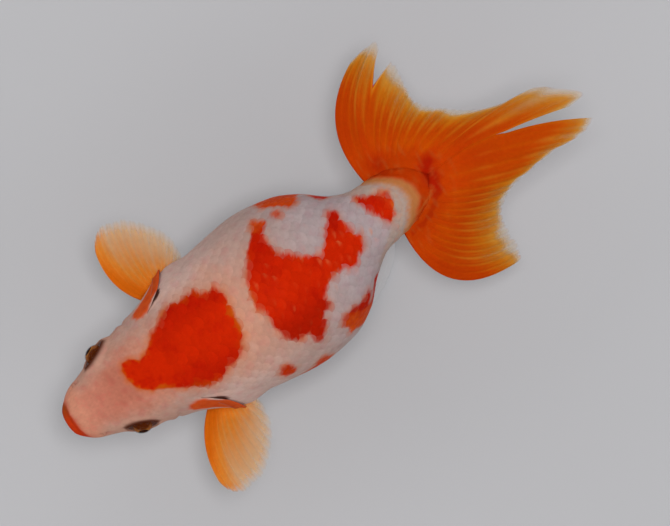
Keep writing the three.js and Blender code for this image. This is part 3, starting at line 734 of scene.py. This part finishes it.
# ---------------------------------------------------------------- scales
ROW_STEP = 1.85  # between neighbouring rows, which are staggered
SIDE_ROWS = 44  # at most, down each side of the row along the back
SCALE_STEP = 3.3  # between scales of one row
FIRST_SCALE = 31.0
LAST_SCALE = 104.0
SCALE_LENGTH = 3.4
SCALE_HALF_WIDTH = 1.95
TABLE_STEP = 0.5


def arc_table():
    """For even steps along the fish: the arc length from the back at which each turn is reached."""
    alongs = np.arange(TABLE_STEP, BODY_LENGTH - TABLE_STEP, TABLE_STEP)
    turns = np.linspace(0, math.pi, 400)
    ring = skin_base(*np.meshgrid(alongs, turns, indexing="ij"))
    steps = np.linalg.norm(np.diff(ring, axis=1), axis=-1)
    arcs = np.concatenate([np.zeros((len(alongs), 1)), np.cumsum(steps, axis=1)], 1)
    return alongs, turns, arcs


ALONGS, TURNS, ARCS = arc_table()


def turn_at(along, arc):
    """The turn that lies arc mm round from the back, by straight lines through the table."""
    row = (np.clip(along, ALONGS[0], ALONGS[-1] - 1e-3) - ALONGS[0]) / TABLE_STEP
    low = row.astype(int)
    share = row - low
    length = np.abs(arc)

    def in_row(index):
        table = ARCS[index]
        place_in = (table < length[..., None]).sum(-1).clip(1, len(TURNS) - 1)
        before = np.take_along_axis(table, (place_in - 1)[..., None], -1)[..., 0]
        after = np.take_along_axis(table, place_in[..., None], -1)[..., 0]
        part = (length - before) / np.maximum(after - before, 1e-6)
        return TURNS[place_in - 1] + part * (TURNS[1] - TURNS[0])

    return np.sign(arc) * (in_row(low) * (1 - share) + in_row(low + 1) * share)


def scale_roots():
    """Every scale's [along, arc] and its turn: staggered rows from the back down each side, clear
    of the head, the gill covers and the tail's root."""
    roots = []
    for row in range(-SIDE_ROWS, SIDE_ROWS + 1):
        stagger = SCALE_STEP / 2 * (row % 2)
        places = np.arange(FIRST_SCALE + stagger, LAST_SCALE, SCALE_STEP)
        roots.append(np.stack([places, np.full(len(places), row * ROW_STEP)], -1))
    roots = np.concatenate(roots)
    around = np.array([np.interp(a, ALONGS, ARCS[:, -1]) for a in roots[:, 0]])
    roots = roots[np.abs(roots[:, 1]) < around - 0.5]
    turns = turn_at(roots[:, 0], roots[:, 1])
    edge, free, _, slit = flap_edge(turns)
    across = body_point(roots[:, 0], turns)[:, 0]
    behind_gill = roots[:, 0] > edge - 1.0 - 1.2 * free + slit * (3.9 + 1.1 * hump(edge, *SLIT_WIDEST))
    clear = behind_gill & (root_distance(roots[:, 0], across) < -6.0)
    return roots[clear], turns[clear]


# The grid of one scale: p back along the fish from its root, q across it.
SCALE_BACK = [0.0, 0.2, 0.42, 0.62, 0.8, 0.93, 1.0, 1.02]
SCALE_OVER = [-1.0, -0.93, -0.5, 0.0, 0.5, 0.93, 1.0]
P, Q = np.meshgrid(SCALE_BACK, SCALE_OVER, indexing="ij")
SCALE_RIM = np.maximum(ease(np.abs(Q), 0.9, 1.0), ease(P, 0.96, 1.02))


def scale_colours(roots, turns, along, turn):
    """Mostly the hide's colour at each point, partly that at the scale's middle, so that a scale
    keeps together; each is a little lighter or darker, and a few on the back carry a painted
    highlight, a pale crescent that stands in for light glinting on a wet rim."""
    number = np.arange(len(roots))
    fleck = 1 + 0.03 * np.sin(number * 12.9898) + 0.02 * np.sin(number * 4.1414 + 1)
    # painted light and shade: each scale is darker at its root, where the scale before it would shade it,
    # lighter towards its free hind edge, and a touch darker at its rim
    scale_light_and_shade = 0.98 + 0.05 * ease(P, 0.45, 0.9) - 0.01 * SCALE_RIM
    whole = hide_colour(roots[:, 0] + 0.8, turns, blur=0.5)[:, None, None, :]
    tint = 0.3 * whole + 0.7 * hide_colour(along, turn, blur=0.2)
    tint = tint * fleck[:, None, None, None] * scale_light_and_shade[None, ..., None]
    # painted highlight: pale crescents near the hind edges of a few scales on the back, as glints of
    # light
    chance, drift = np.random.default_rng(5).random((2, len(roots)))
    lit = chance**4 * hump(body_point(roots[:, 0], turns)[:, 0], 0, 7.5) * ease(roots[:, 0], 46, 54)
    middle = 1.6 * (drift[:, None, None] - 0.5)
    crescent = hump(P + 0.1 * Q**2, 0.86, 0.1) * hump(Q, middle, 0.5)
    return mix(tint, PAINTED_GLINT, 0.6 * lit[:, None, None] * crescent)


def make_scales():
    """The coat: each scale is a low fan whose half width closes as a half circle at its hind edge.

    It rises gently to the hind edge, its root is sunk in the skin, and its rim turns down."""
    roots, turns = scale_roots()
    hind = np.sqrt(np.maximum(0.0, 1 - ((P - 0.5) / 0.53) ** 2))
    width = np.where(P < 0.5, 0.8 + 0.4 * P, hind)
    lift = 0.035 + 0.045 * P - 0.015 * Q**2 - 0.05 * SCALE_RIM - 0.065 * ease(P, 0.15, 0)
    size = (0.8 + 0.2 * ease(roots[:, 0], 104, 80))[:, None, None]
    along = roots[:, 0, None, None] + (P - 0.35) * SCALE_LENGTH * size
    arc = roots[:, 1, None, None] + Q * width * SCALE_HALF_WIDTH * size
    along = np.clip(along, 1.0, BODY_LENGTH - 1.5)
    turn = turn_at(along, arc)
    points = skin_base(along, turn) + skin_normal(along, turn, 0.5) * lift[None, ..., None]
    faces = grid_faces(*P.shape)[None, :, ::-1] + np.arange(len(roots))[:, None, None] * P.size
    scales = add_piece("scales", points, [faces.reshape(-1, 4)], scale_finish)
    set_colours(scales, scale_colours(roots, turns, along, turn))
    u = (roots[:, 0] / BODY_LENGTH)[:, None, None] + (P - 0.5) * 0.003
    v = (0.5 + turns / (2 * math.pi) * 0.98)[:, None, None] + Q * 0.0015
    set_bake_map(scales, np.stack([u, v], -1))


make_scales()

# ---------------------------------------------------------------- fins
FIN_SUNK = 1.2  # depth of a fin's root line in the body
RAY_WALL = 0.42  # thickness on a ray near its root
WEB_WALL = 0.16  # and of the web between the rays
RAGGED = 0.5  # how far rays run on beyond the web
# The line on which the two halves of the tail meet, as far as the slit between them.
SLIT_START = 131.0
SEAM_ALONG = [110.5, 120.5, SLIT_START]
seam_across = smooth_through(SEAM_ALONG, [-4.3, -4.7, -3.5])
seam_height = smooth_through(SEAM_ALONG, [5.8, 9.8, 13.4])


def root_on_body(side, first, last, late=1):
    """A line just inside the body's surface between two places given as (along, turn).

    The turn is made late in the line where late is over 1."""

    def root(t):
        t = np.asarray(t, float)
        along = first[0] + (last[0] - first[0]) * t
        turn = side * (first[1] + (last[1] - first[1]) * t**late)
        return body_point(along, turn, -FIN_SUNK)

    return root


def fin_surface(root, side, rays):
    """A fan of rays: t runs over the rays and r along each, from the root line to the tips.

    rays holds at, tip x, y, z, bow (towards the head) and arch (upwards), shares of length."""
    rays = np.asarray(rays, float)
    tip_x, tip_y, tip_z, bow, arch = (smooth_through(rays[:, 0], rays[:, k]) for k in range(1, 6))

    def surface(t, r):
        start = root(t)
        chord = np.stack([tip_x(t), tip_y(t), tip_z(t)], -1) - start
        ahead = np.stack([chord[..., 1], -chord[..., 0], 0 * chord[..., 0]], -1)
        length = np.linalg.norm(chord, axis=-1)
        swell = (4 * r * (1 - r))[..., None]
        lift = np.stack([0 * length, 0 * length, length * arch(t)], -1)
        return start + chord * r[..., None] + (ahead * side * bow(t)[..., None] + lift) * swell

    return surface


def along_seam(surface):
    """The same fan, with its last ray bent on to the seam and its neighbours drawn after it."""

    def joined(t, r):
        points = surface(t, r)
        last = surface(np.ones_like(t), r)
        seam = np.stack([seam_across(last[..., 1]), last[..., 1], seam_height(last[..., 1])], -1)
        held = ease(t, 0.85, 1) * ease(last[..., 1], SLIT_START + 1.5, SLIT_START - 2.5)
        return points + (seam - last) * held[..., None]

    return joined


def gap_pattern(t, r, count):
    """How nearly a point lies in a gap between rays, 0 to 1; each ray forks in two halfway out."""
    phase = (t * count) % 1.0 - 0.5
    between = hump(0.5 - np.abs(phase), 0, 0.2) * ease(r, 0.1, 0.3)
    forked = 0.45 * hump(phase, 0, 0.11) * ease(r, 0.4, 0.75)
    return np.maximum(between, forked)


def fin_grid(surface, columns, rows, count, tear):
    """The fin's grid: t over its rays, s from root to edge, r along each ray, and their lengths.

    r passes 1 on each ray and falls short of it between them, so that the edge is ragged. tear
    holds the ray at which the web is torn, half the tear's width in t, and its depth in r."""
    t, s = np.meshgrid(np.linspace(0, 1, columns), np.linspace(0, 1, rows) ** 0.9, indexing="ij")
    ends = np.ones_like(t)
    length = np.linalg.norm(surface(t, ends) - surface(t, 0 * ends), axis=-1)
    fray = 0.7 - gap_pattern(t, ends, count) + 0.5 * ripple(t * count, 0 * t, 3.1, 5)
    r = s * (1 + RAGGED * fray / length * ease(s, 0.6, 1))
    if tear:
        spot, spread, depth = tear
        r = r * (1 - depth * np.clip(1 - np.abs(t - spot) / spread, 0, 1))
    return t, s, r, length


def fin_wall(t, s, r, length, gap, base, joined):
    """How thick a fin is: its rays stand out of the web and thin outwards, the first is stout, the
    root is fleshy, and all edges are thin but one that is joined to the other half."""
    columns = len(t)
    edge = np.minimum(np.minimum(t * columns / 9, (1 - t) * columns / 9 + joined), 1) ** 0.5
    end = np.sqrt(np.clip((1 - s) / 0.03, 0.02, 1))
    stout = (RAY_WALL - WEB_WALL) * (1 - gap) + 0.3 * ease(t, 0.06, 0)
    wall = WEB_WALL + stout * (1 - 0.6 * r) + (base - 0.2) * ease(r * length, 4.0, 0.0)
    return wall * end * (0.15 + 0.85 * edge)


def fin_faces(columns, rows):
    """Quads of a fin's upper side, its lower side, and the strip round its edge between them."""
    upper = grid_faces(columns, rows)
    below = columns * rows
    rim = np.concatenate([
        np.arange(rows), np.arange(1, columns) * rows + rows - 1,
        (columns - 1) * rows + np.arange(rows - 2, -1, -1), np.arange(columns - 2, 0, -1) * rows,
    ])
    following = np.roll(rim, -1)
    strip = np.stack([rim, following, following + below, rim + below], -1)
    return np.concatenate([upper, upper[:, ::-1] + below, strip])


def make_fin(name, surface, grid, count, paint, nodes, base=1.7, tear=None, at_seam=False):
    """A thin closed fin: its sheet, a little corrugated by its rays, is given a wall.

    grid holds its columns and rows, and count its rays. paint(t, r, gap, left, sheet) gives its
    colour and how solid it looks, where left is how many mm remain to the edge and sheet holds
    the points."""
    columns, rows = grid
    t, s, r, length = fin_grid(surface, columns, rows, count, tear)
    sheet = surface(t, r)
    step = 1e-3
    over_t = surface(np.minimum(t + step, 1), r) - surface(np.maximum(t - step, 0), r)
    over_r = surface(t, r + step) - surface(t, r - step)
    normal = unit(np.cross(over_t, over_r))
    gap = gap_pattern(t, r, count)
    left = (1 - s) * length
    wall = fin_wall(t, s, r, length, gap, base, ease(left, 14, 18) if at_seam else 0)
    waves = 0.1 * np.cos(2 * math.pi * t * count) * ease(r, 0.3, 1)
    upper = sheet + normal * (waves + wall / 2)[..., None]
    lower = sheet + normal * (waves - wall / 2)[..., None]
    points = np.concatenate([upper.reshape(-1, 3), lower.reshape(-1, 3)])
    faces = fin_faces(columns, rows)
    if signed_volume(points, faces) < 0:
        faces = faces[:, ::-1]
    fin = add_piece(name, points, [faces], fin_finish, nodes)
    sides = 2 * (columns - 1) * (rows - 1)
    fin.data.polygons.foreach_set("use_smooth", np.arange(len(faces)) < sides)
    colour, solid = paint(t, r, gap, left, sheet)
    seen = 1 - np.sqrt(np.clip(1 - solid, 0, 1))  # two walls lie one behind the other
    tint = np.concatenate([colour, seen[..., None]], -1).reshape(-1, 4)
    set_colours(fin, np.concatenate([tint, tint]))
    half_map = np.stack([t * 0.48 + 0.01, s * 0.98 + 0.01], -1).reshape(-1, 2)
    set_bake_map(fin, np.concatenate([half_map, half_map + [0.5, 0]]))


def signed_volume(points, faces):
    """Positive where the faces look outwards."""
    a, b, c, d = (points[faces[:, k]] for k in range(4))
    first = np.einsum("ij,ij->i", a, np.cross(b, c)).sum()
    return first + np.einsum("ij,ij->i", a, np.cross(c, d)).sum()


FIN_RED = (0.43, 0.034, 0.001)
FIN_ORANGE = (0.45, 0.057, 0.001)
FIN_AMBER = (0.50, 0.15, 0.006)
FIN_YELLOW = (0.54, 0.255, 0.035)
FIN_PALE = (0.55, 0.40, 0.19)
PAIRED_ORANGE = (0.64, 0.135, 0.005)
PAIRED_AMBER = (0.72, 0.25, 0.03)
PAIRED_YELLOW = (0.74, 0.41, 0.12)


def from_root(r, left):
    """How many mm a place lies out from the fin's root, from what is left of its ray."""
    return left * r / np.maximum(1 - r, 1e-3)


def paint_tail(t, r, gap, left, sheet):
    """Deep orange-red from the root, amber then yellow and thin in the last mm, lighter in the gaps.

    Long rays are amber over more of their length. The fleshy root is plain and carries the
    body's own markings on over the first mm of the web."""
    drift = ripple(t * 20, r * 3, 3, 3)
    leading = ease(t, 0.2, 0.0)
    out = from_root(r, left)
    margin = np.clip(0.55 + (left + out - 18) / 20, 0.55, 1.6)
    solid_lobe = ease(sheet[..., 0], -3, 3) * ease(sheet[..., 1], 122, 132)
    edge = (left * (1 + 1.2 * leading) + 0.8 * drift) / margin * (1 + 1.4 * solid_lobe)
    colour = mix(FIN_RED, FIN_ORANGE, ease(r + 0.15 * drift, 0.1, 0.5) * (1 - 0.6 * leading))
    uneven = 0.5 + 0.5 * np.sin(37 * t + 2 * np.sin(11 * t))
    streak = gap * uneven * (1 - 0.75 * leading) * ease(out + 2 * drift, 6, 12)
    colour = mix(colour, FIN_YELLOW, 0.38 * streak * ease(edge, 18, 6))
    colour = mix(colour, FIN_RED, 0.5 * (1 - gap) * ease(out, 4, 9) * ease(r, 0.95, 0.6))
    colour = mix(colour, FIN_AMBER, 0.45 * ease(edge + 4 * (1 - gap), 18, 8) * ease(out, 5, 10))
    colour = mix(colour, FIN_AMBER, 0.88 * ease(edge + 2.5 * (1 - gap), 12, 5))
    colour = mix(colour, FIN_YELLOW, 0.88 * ease(edge + 1.2 * (1 - gap), 7, 2.2))
    colour = mix(colour, FIN_PALE, 0.7 * ease(edge, 3.2, 0.6))
    colour = mix(colour, ROOT_ORANGE, ease(out + drift, 7, 3))
    # lighter where the body keeps the light off it
    colour = colour * (1 + np.array([0.16, 0.3, 0]) * ease(out, 14, 5)[..., None])
    colour = root_markings(colour, sheet[..., 1], sheet[..., 0], ease(out, 9, 5))
    solid = 1 - 0.12 * streak * ease(edge, 10, 4)
    solid = solid * (1 - 0.75 * ease(edge + 0.5 * (1 - gap), 3.5, 0.1)) * ease(left, 0.0, 0.5)
    return colour, np.clip(solid, 0, 1)


def paint_paired(t, r, gap, left, _sheet):
    """Orange at the root and leading edge, amber between, thinning to a clear hind edge."""
    leading = ease(t, 0.3, 0.0)
    outward = r + 0.4 * t - 0.45 * leading + 0.05 * ripple(t * 14, r * 3, 3, 6)
    colour = mix(PAIRED_ORANGE, PAIRED_AMBER, ease(outward, 0.2, 0.7))
    colour = mix(colour, PAIRED_YELLOW, ease(outward, 0.55, 1.25))
    colour = mix(colour, PAIRED_YELLOW, 0.22 * gap * ease(outward, 0.2, 0.7))
    colour = mix(colour, PAIRED_ORANGE, 0.2 * (1 - gap) * ease(outward, 1.1, 0.4))
    solid = 1 - 0.42 * ease(outward, 0.5, 1.3) - 0.08 * gap * ease(outward, 0.4, 0.9)
    thin = 0.8 * ease(left + 0.4 * (1 - gap) + 1.5 * leading, 3.2, 0.0)
    solid = solid * (1 - thin) * ease(left, 0.0, 0.5)
    # lighter where the body keeps the light off it
    lighter = 1 + 0.35 * ease(from_root(r, left), 9, 3) * ease(t, 0.1, 0.4)
    return np.minimum(colour * lighter[..., None], 0.95), np.clip(solid, 0, 1)


# Each fin's root line runs between two places on the body, given as (along, turn). Its key rays
# hold: at, tip across, tip along, tip height, bow towards the head, arch upwards.
TAIL_ROOT = {"right": ((95.8, 1.9), (111, -0.05), 2), "left": ((97.2, 1.9), (111, -0.05), 2)}
TAIL_TEAR = {"right": (0.26, 0.022, 0.26), "left": None}
TAIL_RAYS = {
    "right": [
        [0, -39, 109.5, -9, 0.19, 0.02], [0.06, -39.8, 113.2, -9, 0.18, 0.02],
        [0.13, -40, 116.2, -8.5, 0.16, 0.02], [0.2, -39.7, 117.1, -8, 0.14, 0.03],
        [0.238, -38.1, 117.3, -8, 0.12, 0.03], [0.282, -33.6, 118, -7, 0.115, 0.03],
        [0.36, -29.5, 117.6, -5, 0.11, 0.03], [0.43, -25.5, 117.3, -3, 0.1, 0.03],
        [0.5, -22.6, 117.1, -1, 0.09, 0.03], [0.56, -20.6, 117.7, 1, 0.08, 0.03],
        [0.63, -17.9, 120, 3, 0.07, 0.03], [0.69, -15.8, 122.8, 5, 0.06, 0.03],
        [0.75, -13.5, 125.6, 7, 0.05, 0.03], [0.81, -10.9, 130.1, 9, 0.05, 0.03],
        [0.86, -9.1, 136.9, 12, 0.04, 0.03], [0.9, -8.5, 143, 14, 0.035, 0.03],
        [0.94, -5.2, 148.3, 16.5, 0.03, 0.03], [0.97, -0.6, 153.2, 18.5, 0.035, 0.03],
        [1, 0.6, 149.3, 18, 0.038, 0.03],
    ],
    "left": [
        [0, 26.6, 118.9, -17, 0.285, -0.04], [0.2, 21.6, 120, -13.5, 0.22, -0.02],
        [0.34, 17.9, 119.8, -10, 0.18, -0.01], [0.46, 14.3, 120.6, -6.5, 0.14, 0],
        [0.55, 12, 122.2, -3, 0.11, 0.02], [0.62, 10.5, 124.4, 0, 0.09, 0.02],
        [0.68, 9.6, 126.2, 2.5, 0.07, 0.03], [0.76, 8.9, 129.8, 6, 0.05, 0.03],
        [0.82, 8.1, 134, 9, 0.03, 0.03], [0.88, 7.5, 140, 12, 0, 0.03],
        [0.94, 7.7, 147, 15.5, -0.045, 0.03], [1, 6.2, 152.4, 18, -0.08, 0.03],
    ],
}
PECTORAL_ROOT = ((35.6, 2.28), (39.6, 2.1))
PECTORAL_RAYS = {
    "right": [
        [0, -33.4, 28.8, -8, 0.16, 0.05], [0.1, -36.4, 31, -8, 0.15, 0.05],
        [0.2, -37.5, 33.2, -8, 0.135, 0.05], [0.35, -37.3, 36.6, -8.5, 0.1, 0.06],
        [0.5, -35.4, 39.8, -9.5, 0.08, 0.06], [0.65, -32.5, 43, -10.5, 0.05, 0.06],
        [0.8, -28.2, 45.8, -11.5, 0.02, 0.05], [0.9, -24.6, 46.8, -12.5, 0, 0.04],
        [1, -20.2, 46.6, -13.5, -0.04, 0.03],
    ],
    "left": [
        [0, 33.6, 24, -8, 0.14, 0.05], [0.1, 36.7, 25.6, -8, 0.14, 0.05],
        [0.2, 38, 28, -8, 0.13, 0.05], [0.35, 38, 31.4, -8.5, 0.11, 0.06],
        [0.5, 36.6, 35, -9.5, 0.08, 0.06], [0.65, 33.8, 38.6, -10.5, 0.05, 0.06],
        [0.8, 29.7, 41.7, -11.5, 0.02, 0.05], [0.9, 25.6, 43.4, -12.5, 0, 0.04],
        [1, 21, 43.8, -13.5, -0.03, 0.03],
    ],
}
PELVIC_ROOT = ((50.5, 2.72), (54.5, 2.92))
PELVIC_RAYS = [
    [0, 17, 63, -32, 0.06, -0.06], [0.3, 15.5, 67.5, -33, 0.04, -0.06],
    [0.65, 10.5, 68.5, -33, 0.02, -0.05], [1, 5.5, 64.5, -31.5, 0, -0.03],
]
ANAL_ROOT = ((80.5, 2.98), (87, 2.86))
ANAL_RAYS = [
    [0, 3.6, 91, -26.5, 0.04, -0.04], [0.35, 4.8, 95.5, -24, 0.03, -0.03],
    [0.7, 5.2, 97.5, -19.5, 0.02, -0.02], [1, 4.8, 96, -14.5, 0, 0],
]
ANAL_SHIFT = [-1.6, -1.9, -2.2, -2.3]


def mirrored(rays, side, shifts=0):
    """The rays of one side from those of the left, each moved across by its shift."""
    made = np.array(rays, float)
    made[:, 1] = made[:, 1] * side + shifts
    return made


def make_fin_pairs(word, side):
    """One side's tail half and its pectoral, pelvic and anal fins."""
    tail = along_seam(fin_surface(root_on_body(side, *TAIL_ROOT[word]), side, TAIL_RAYS[word]))
    make_fin(
        f"tail_half_{word}", tail, (400, 64), 17, paint_tail,
        (f"tail_lobe_upper_{word}", f"tail_lobe_lower_{word}"),
        base=2.0, tear=TAIL_TEAR[word], at_seam=True,
    )
    pairs = {
        "pectoral": (PECTORAL_ROOT, PECTORAL_RAYS[word], (220, 54), 12),
        "pelvic": (PELVIC_ROOT, mirrored(PELVIC_RAYS, side), (110, 40), 9),
        "anal": (ANAL_ROOT, mirrored(ANAL_RAYS, side, ANAL_SHIFT), (100, 40), 8),
    }
    for kind, (root, rays, grid, count) in pairs.items():
        fan = fin_surface(root_on_body(side, *root), side, rays)
        nodes = (f"{kind}_fin_{word}",)
        make_fin(f"{kind}_{word}", fan, grid, count, paint_paired, nodes)


SIDES = {"left": 1, "right": -1}
for word, side in SIDES.items():
    make_fin_pairs(word, side)

# ---------------------------------------------------------------- eyes
EYE_SPOKES = 72


def turned_rings(profile, middle, look):
    """Pairs of (radius, out) turned round the line of an eye's look, from its middle."""
    up = unit(np.cross(look, [0, 1, 0.0]))
    sideways = np.cross(up, look)
    angle = np.linspace(0, 2 * math.pi, EYE_SPOKES, endpoint=False)
    ring = np.cos(angle)[:, None] * sideways + np.sin(angle)[:, None] * up
    return middle + profile[:, None, 1:2] * look + profile[:, None, 0:1] * ring


PUPIL_RADIUS = 1.35
DOME_RADIUS = 2.55  # of the bulging middle of the iris
DOME_OUT = 1.85
EYE_UMBER = (0.085, 0.013, 0.001)
EYE_AMBER = (0.34, 0.11, 0.028)
EYE_GOLD = (0.50, 0.22, 0.04)
EYE_BLACK = (0.006, 0.003, 0.002)


def dome(radius):
    """How far the iris stands out at each distance from the middle of the eye."""
    return DOME_OUT * np.sqrt(np.maximum(0, 1 - (radius / DOME_RADIUS) ** 2)) ** 1.1


def make_globe(word, side):
    """A dark globe, flat in front, from which an amber iris bulges round a black pupil."""
    middle, look = eye_frame(side)
    angle = np.linspace(0.02, math.pi - math.asin(RIM_RADIUS / EYE_RADIUS), 40)
    behind = np.stack([np.sin(angle), -np.cos(angle)], -1) * (EYE_RADIUS - 0.12)
    radius = behind[-1, 0] * np.linspace(1, 0.005, 60)[1:]
    front = np.stack([radius, behind[-1, 1] + dome(radius)], -1)
    rings = turned_rings(np.concatenate([behind, front]), middle, look)
    sets = [faces[:, ::-1] for faces in capped_faces(*rings.shape[:2])]
    globe = add_piece(f"eye_globe_{word}", capped(rings), sets, eye_finish, (f"eye_{word}",))
    radius = np.concatenate([np.full(len(behind), EYE_RADIUS), radius])[:, None] + np.zeros(EYE_SPOKES)
    spoke = np.linspace(0, 2 * math.pi, EYE_SPOKES, endpoint=False)[None, :]
    fleck = 0.5 + 0.5 * np.sin(spoke * 23 + 2 * np.sin(spoke * 7))
    colour = mix(np.multiply(EYE_AMBER, 0.8), np.multiply(EYE_AMBER, 1.15), fleck)
    colour = mix(colour, EYE_UMBER, ease(radius + 0.15 * fleck, 2.2, 2.75))
    colour = mix(colour, EYE_GOLD, 0.8 * hump(radius, PUPIL_RADIUS + 0.12, 0.14) * (0.6 + 0.4 * fleck))
    colour = mix(colour, EYE_UMBER, 0.95 * ease(rings[..., 2] - middle[2], 1.9, 2.5))
    colour = mix(colour, EYE_BLACK, ease(radius, PUPIL_RADIUS + 0.02, PUPIL_RADIUS - 0.1))
    set_colours(globe, capped(colour))


def make_cornea(word, side):
    """A thin clear shell that follows the iris's bulge a little way out of it."""
    radius = np.linspace(0.02, RIM_RADIUS, 48)
    clearance = RIM_OUT + 0.1
    outer = np.stack([radius, clearance + 1.04 * dome(np.maximum(radius - 0.12, 0))], -1)
    shell = np.concatenate([outer, outer[::-1] - [0, 0.1]])[::-1]
    rings = turned_rings(shell, *eye_frame(side))
    cornea = add_piece(
        f"cornea_{word}", capped(rings), capped_faces(*rings.shape[:2]), cornea_finish,
        (f"eye_{word}",),
    )
    set_colours(cornea, capped(np.zeros((*rings.shape[:2], 4)) + [*EYE_UMBER, 0.1]))


eye_finish = wet_finish("iris_and_lens", 0.3, 3000.0, 0.00002, gloss=0.002, subsurface=0.0)
cornea_finish = wet_finish(
    "clear_cornea", 0.08, 3000.0, 0.000002, gloss=0.4, subsurface=0.0, alpha=True
)
for word, side in SIDES.items():
    make_globe(word, side)
    make_cornea(word, side)

# ---------------------------------------------------------------- stand
def speckled_finish(name, colour, roughness, metallic=0.0, scale=400.0, depth=0.00005):
    """Plain paint or metal: its colour varies a little, with a fine bump and uneven gloss."""
    material, tree, shader = new_material(name)
    grain = noise_on(tree, Scale=scale, Detail=4.0)
    tone = node(tree, "ShaderNodeMix", data_type="RGBA")
    tone.inputs["A"].default_value = (*[c * 0.95 for c in colour], 1)
    tone.inputs["B"].default_value = (*colour, 1)
    tree.links.new(grain, tone.inputs["Factor"])
    tree.links.new(tone.outputs["Result"], shader.inputs["Base Color"])
    gloss = from_to(tree, grain, roughness - 0.06, roughness + 0.06)
    tree.links.new(gloss, shader.inputs["Roughness"])
    add_bump(tree, shader, grain, 0.2, depth)
    shader.inputs["Metallic"].default_value = metallic
    return material


def finish_node(name, material):
    """Gives one of the model's own nodes its finish."""
    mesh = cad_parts[name].data
    mesh.materials.clear()
    mesh.materials.append(material)


finish_node("stand_base", speckled_finish("satin_grey_paint", (0.46, 0.458, 0.47), 0.7))
satin_steel = speckled_finish("satin_steel", (0.62, 0.63, 0.64), 0.3, metallic=1.0, scale=900.0)
finish_node("stand_rod_front", satin_steel)
finish_node("stand_rod_rear", satin_steel)

# ---------------------------------------------------------------- floor, light and camera
FLOOR_REACH = 3.0  # metres
corners = [(-1, -1), (1, -1), (1, 1), (-1, 1)]
floor_mesh = bpy.data.meshes.new("floor")
floor_mesh.from_pydata([(x * FLOOR_REACH, y * FLOOR_REACH, 0) for x, y in corners], [], [(0, 1, 2, 3)])
floor_mesh.materials.append(speckled_finish("pale_floor", (0.475, 0.472, 0.485), 0.8, scale=6.0))
floor = bpy.data.objects.new("floor", floor_mesh)
bpy.context.scene.collection.objects.link(floor)

scene = bpy.context.scene
scene.view_settings.view_transform = "Standard"
world = bpy.data.worlds.new("studio")
world.use_nodes = True
world.node_tree.nodes["Background"].inputs["Color"].default_value = (0.97, 0.98, 1.0, 1)
world.node_tree.nodes["Background"].inputs["Strength"].default_value = 0.42
scene.world = world


def stand_at(holder, across, up, back, spot):
    """Places an object at a spot, in metres, with its own X, Y and Z along three directions."""
    turned = np.column_stack([across, up, back, spot])
    holder.matrix_world = Matrix(np.vstack([turned, [0, 0, 0, 1]]).tolist())


def soft_box(name, spot, size, power):
    """A square soft light at a spot, in metres, aimed at the fish."""
    lamp = bpy.data.lights.new(name, "AREA")
    lamp.shape = "SQUARE"
    lamp.size = size
    lamp.energy = power
    holder = bpy.data.objects.new(name, lamp)
    scene.collection.objects.link(holder)
    target = np.array([0, 0.01, MOUTH_Z * MM])
    away = unit(np.asarray(spot, float) - target)
    side = unit(np.cross([0.02, 1, 0], away))
    stand_at(holder, side, np.cross(away, side), away, spot)


soft_box("key_light", (0.0, 0.06, 1.42), 0.25, 8.0)
for x, y in corners:
    soft_box("side_light", (x * 0.9, y * 0.9, 0.75), 1.0, 3.0)

VIEW_WIDTH = 168.6  # of what the camera sees at the fish's own level
VIEW_HEIGHT = 1500.0
VIEW_MIDDLE = (1.89, 78.44)  # across and along the fish
VIEW_TURN = math.radians(57.52854)
lens = bpy.data.cameras.new("camera")
lens.sensor_width = 36.0
lens.lens = lens.sensor_width * VIEW_HEIGHT / VIEW_WIDTH
lens.clip_end = 20
camera = bpy.data.objects.new("camera", lens)
scene.collection.objects.link(camera)
stand_at(
    camera, [math.cos(VIEW_TURN), math.sin(VIEW_TURN), 0], [-math.sin(VIEW_TURN), math.cos(VIEW_TURN), 0],
    [0, 0, 1], place([*VIEW_MIDDLE, VIEW_HEIGHT]),
)
scene.camera = camera
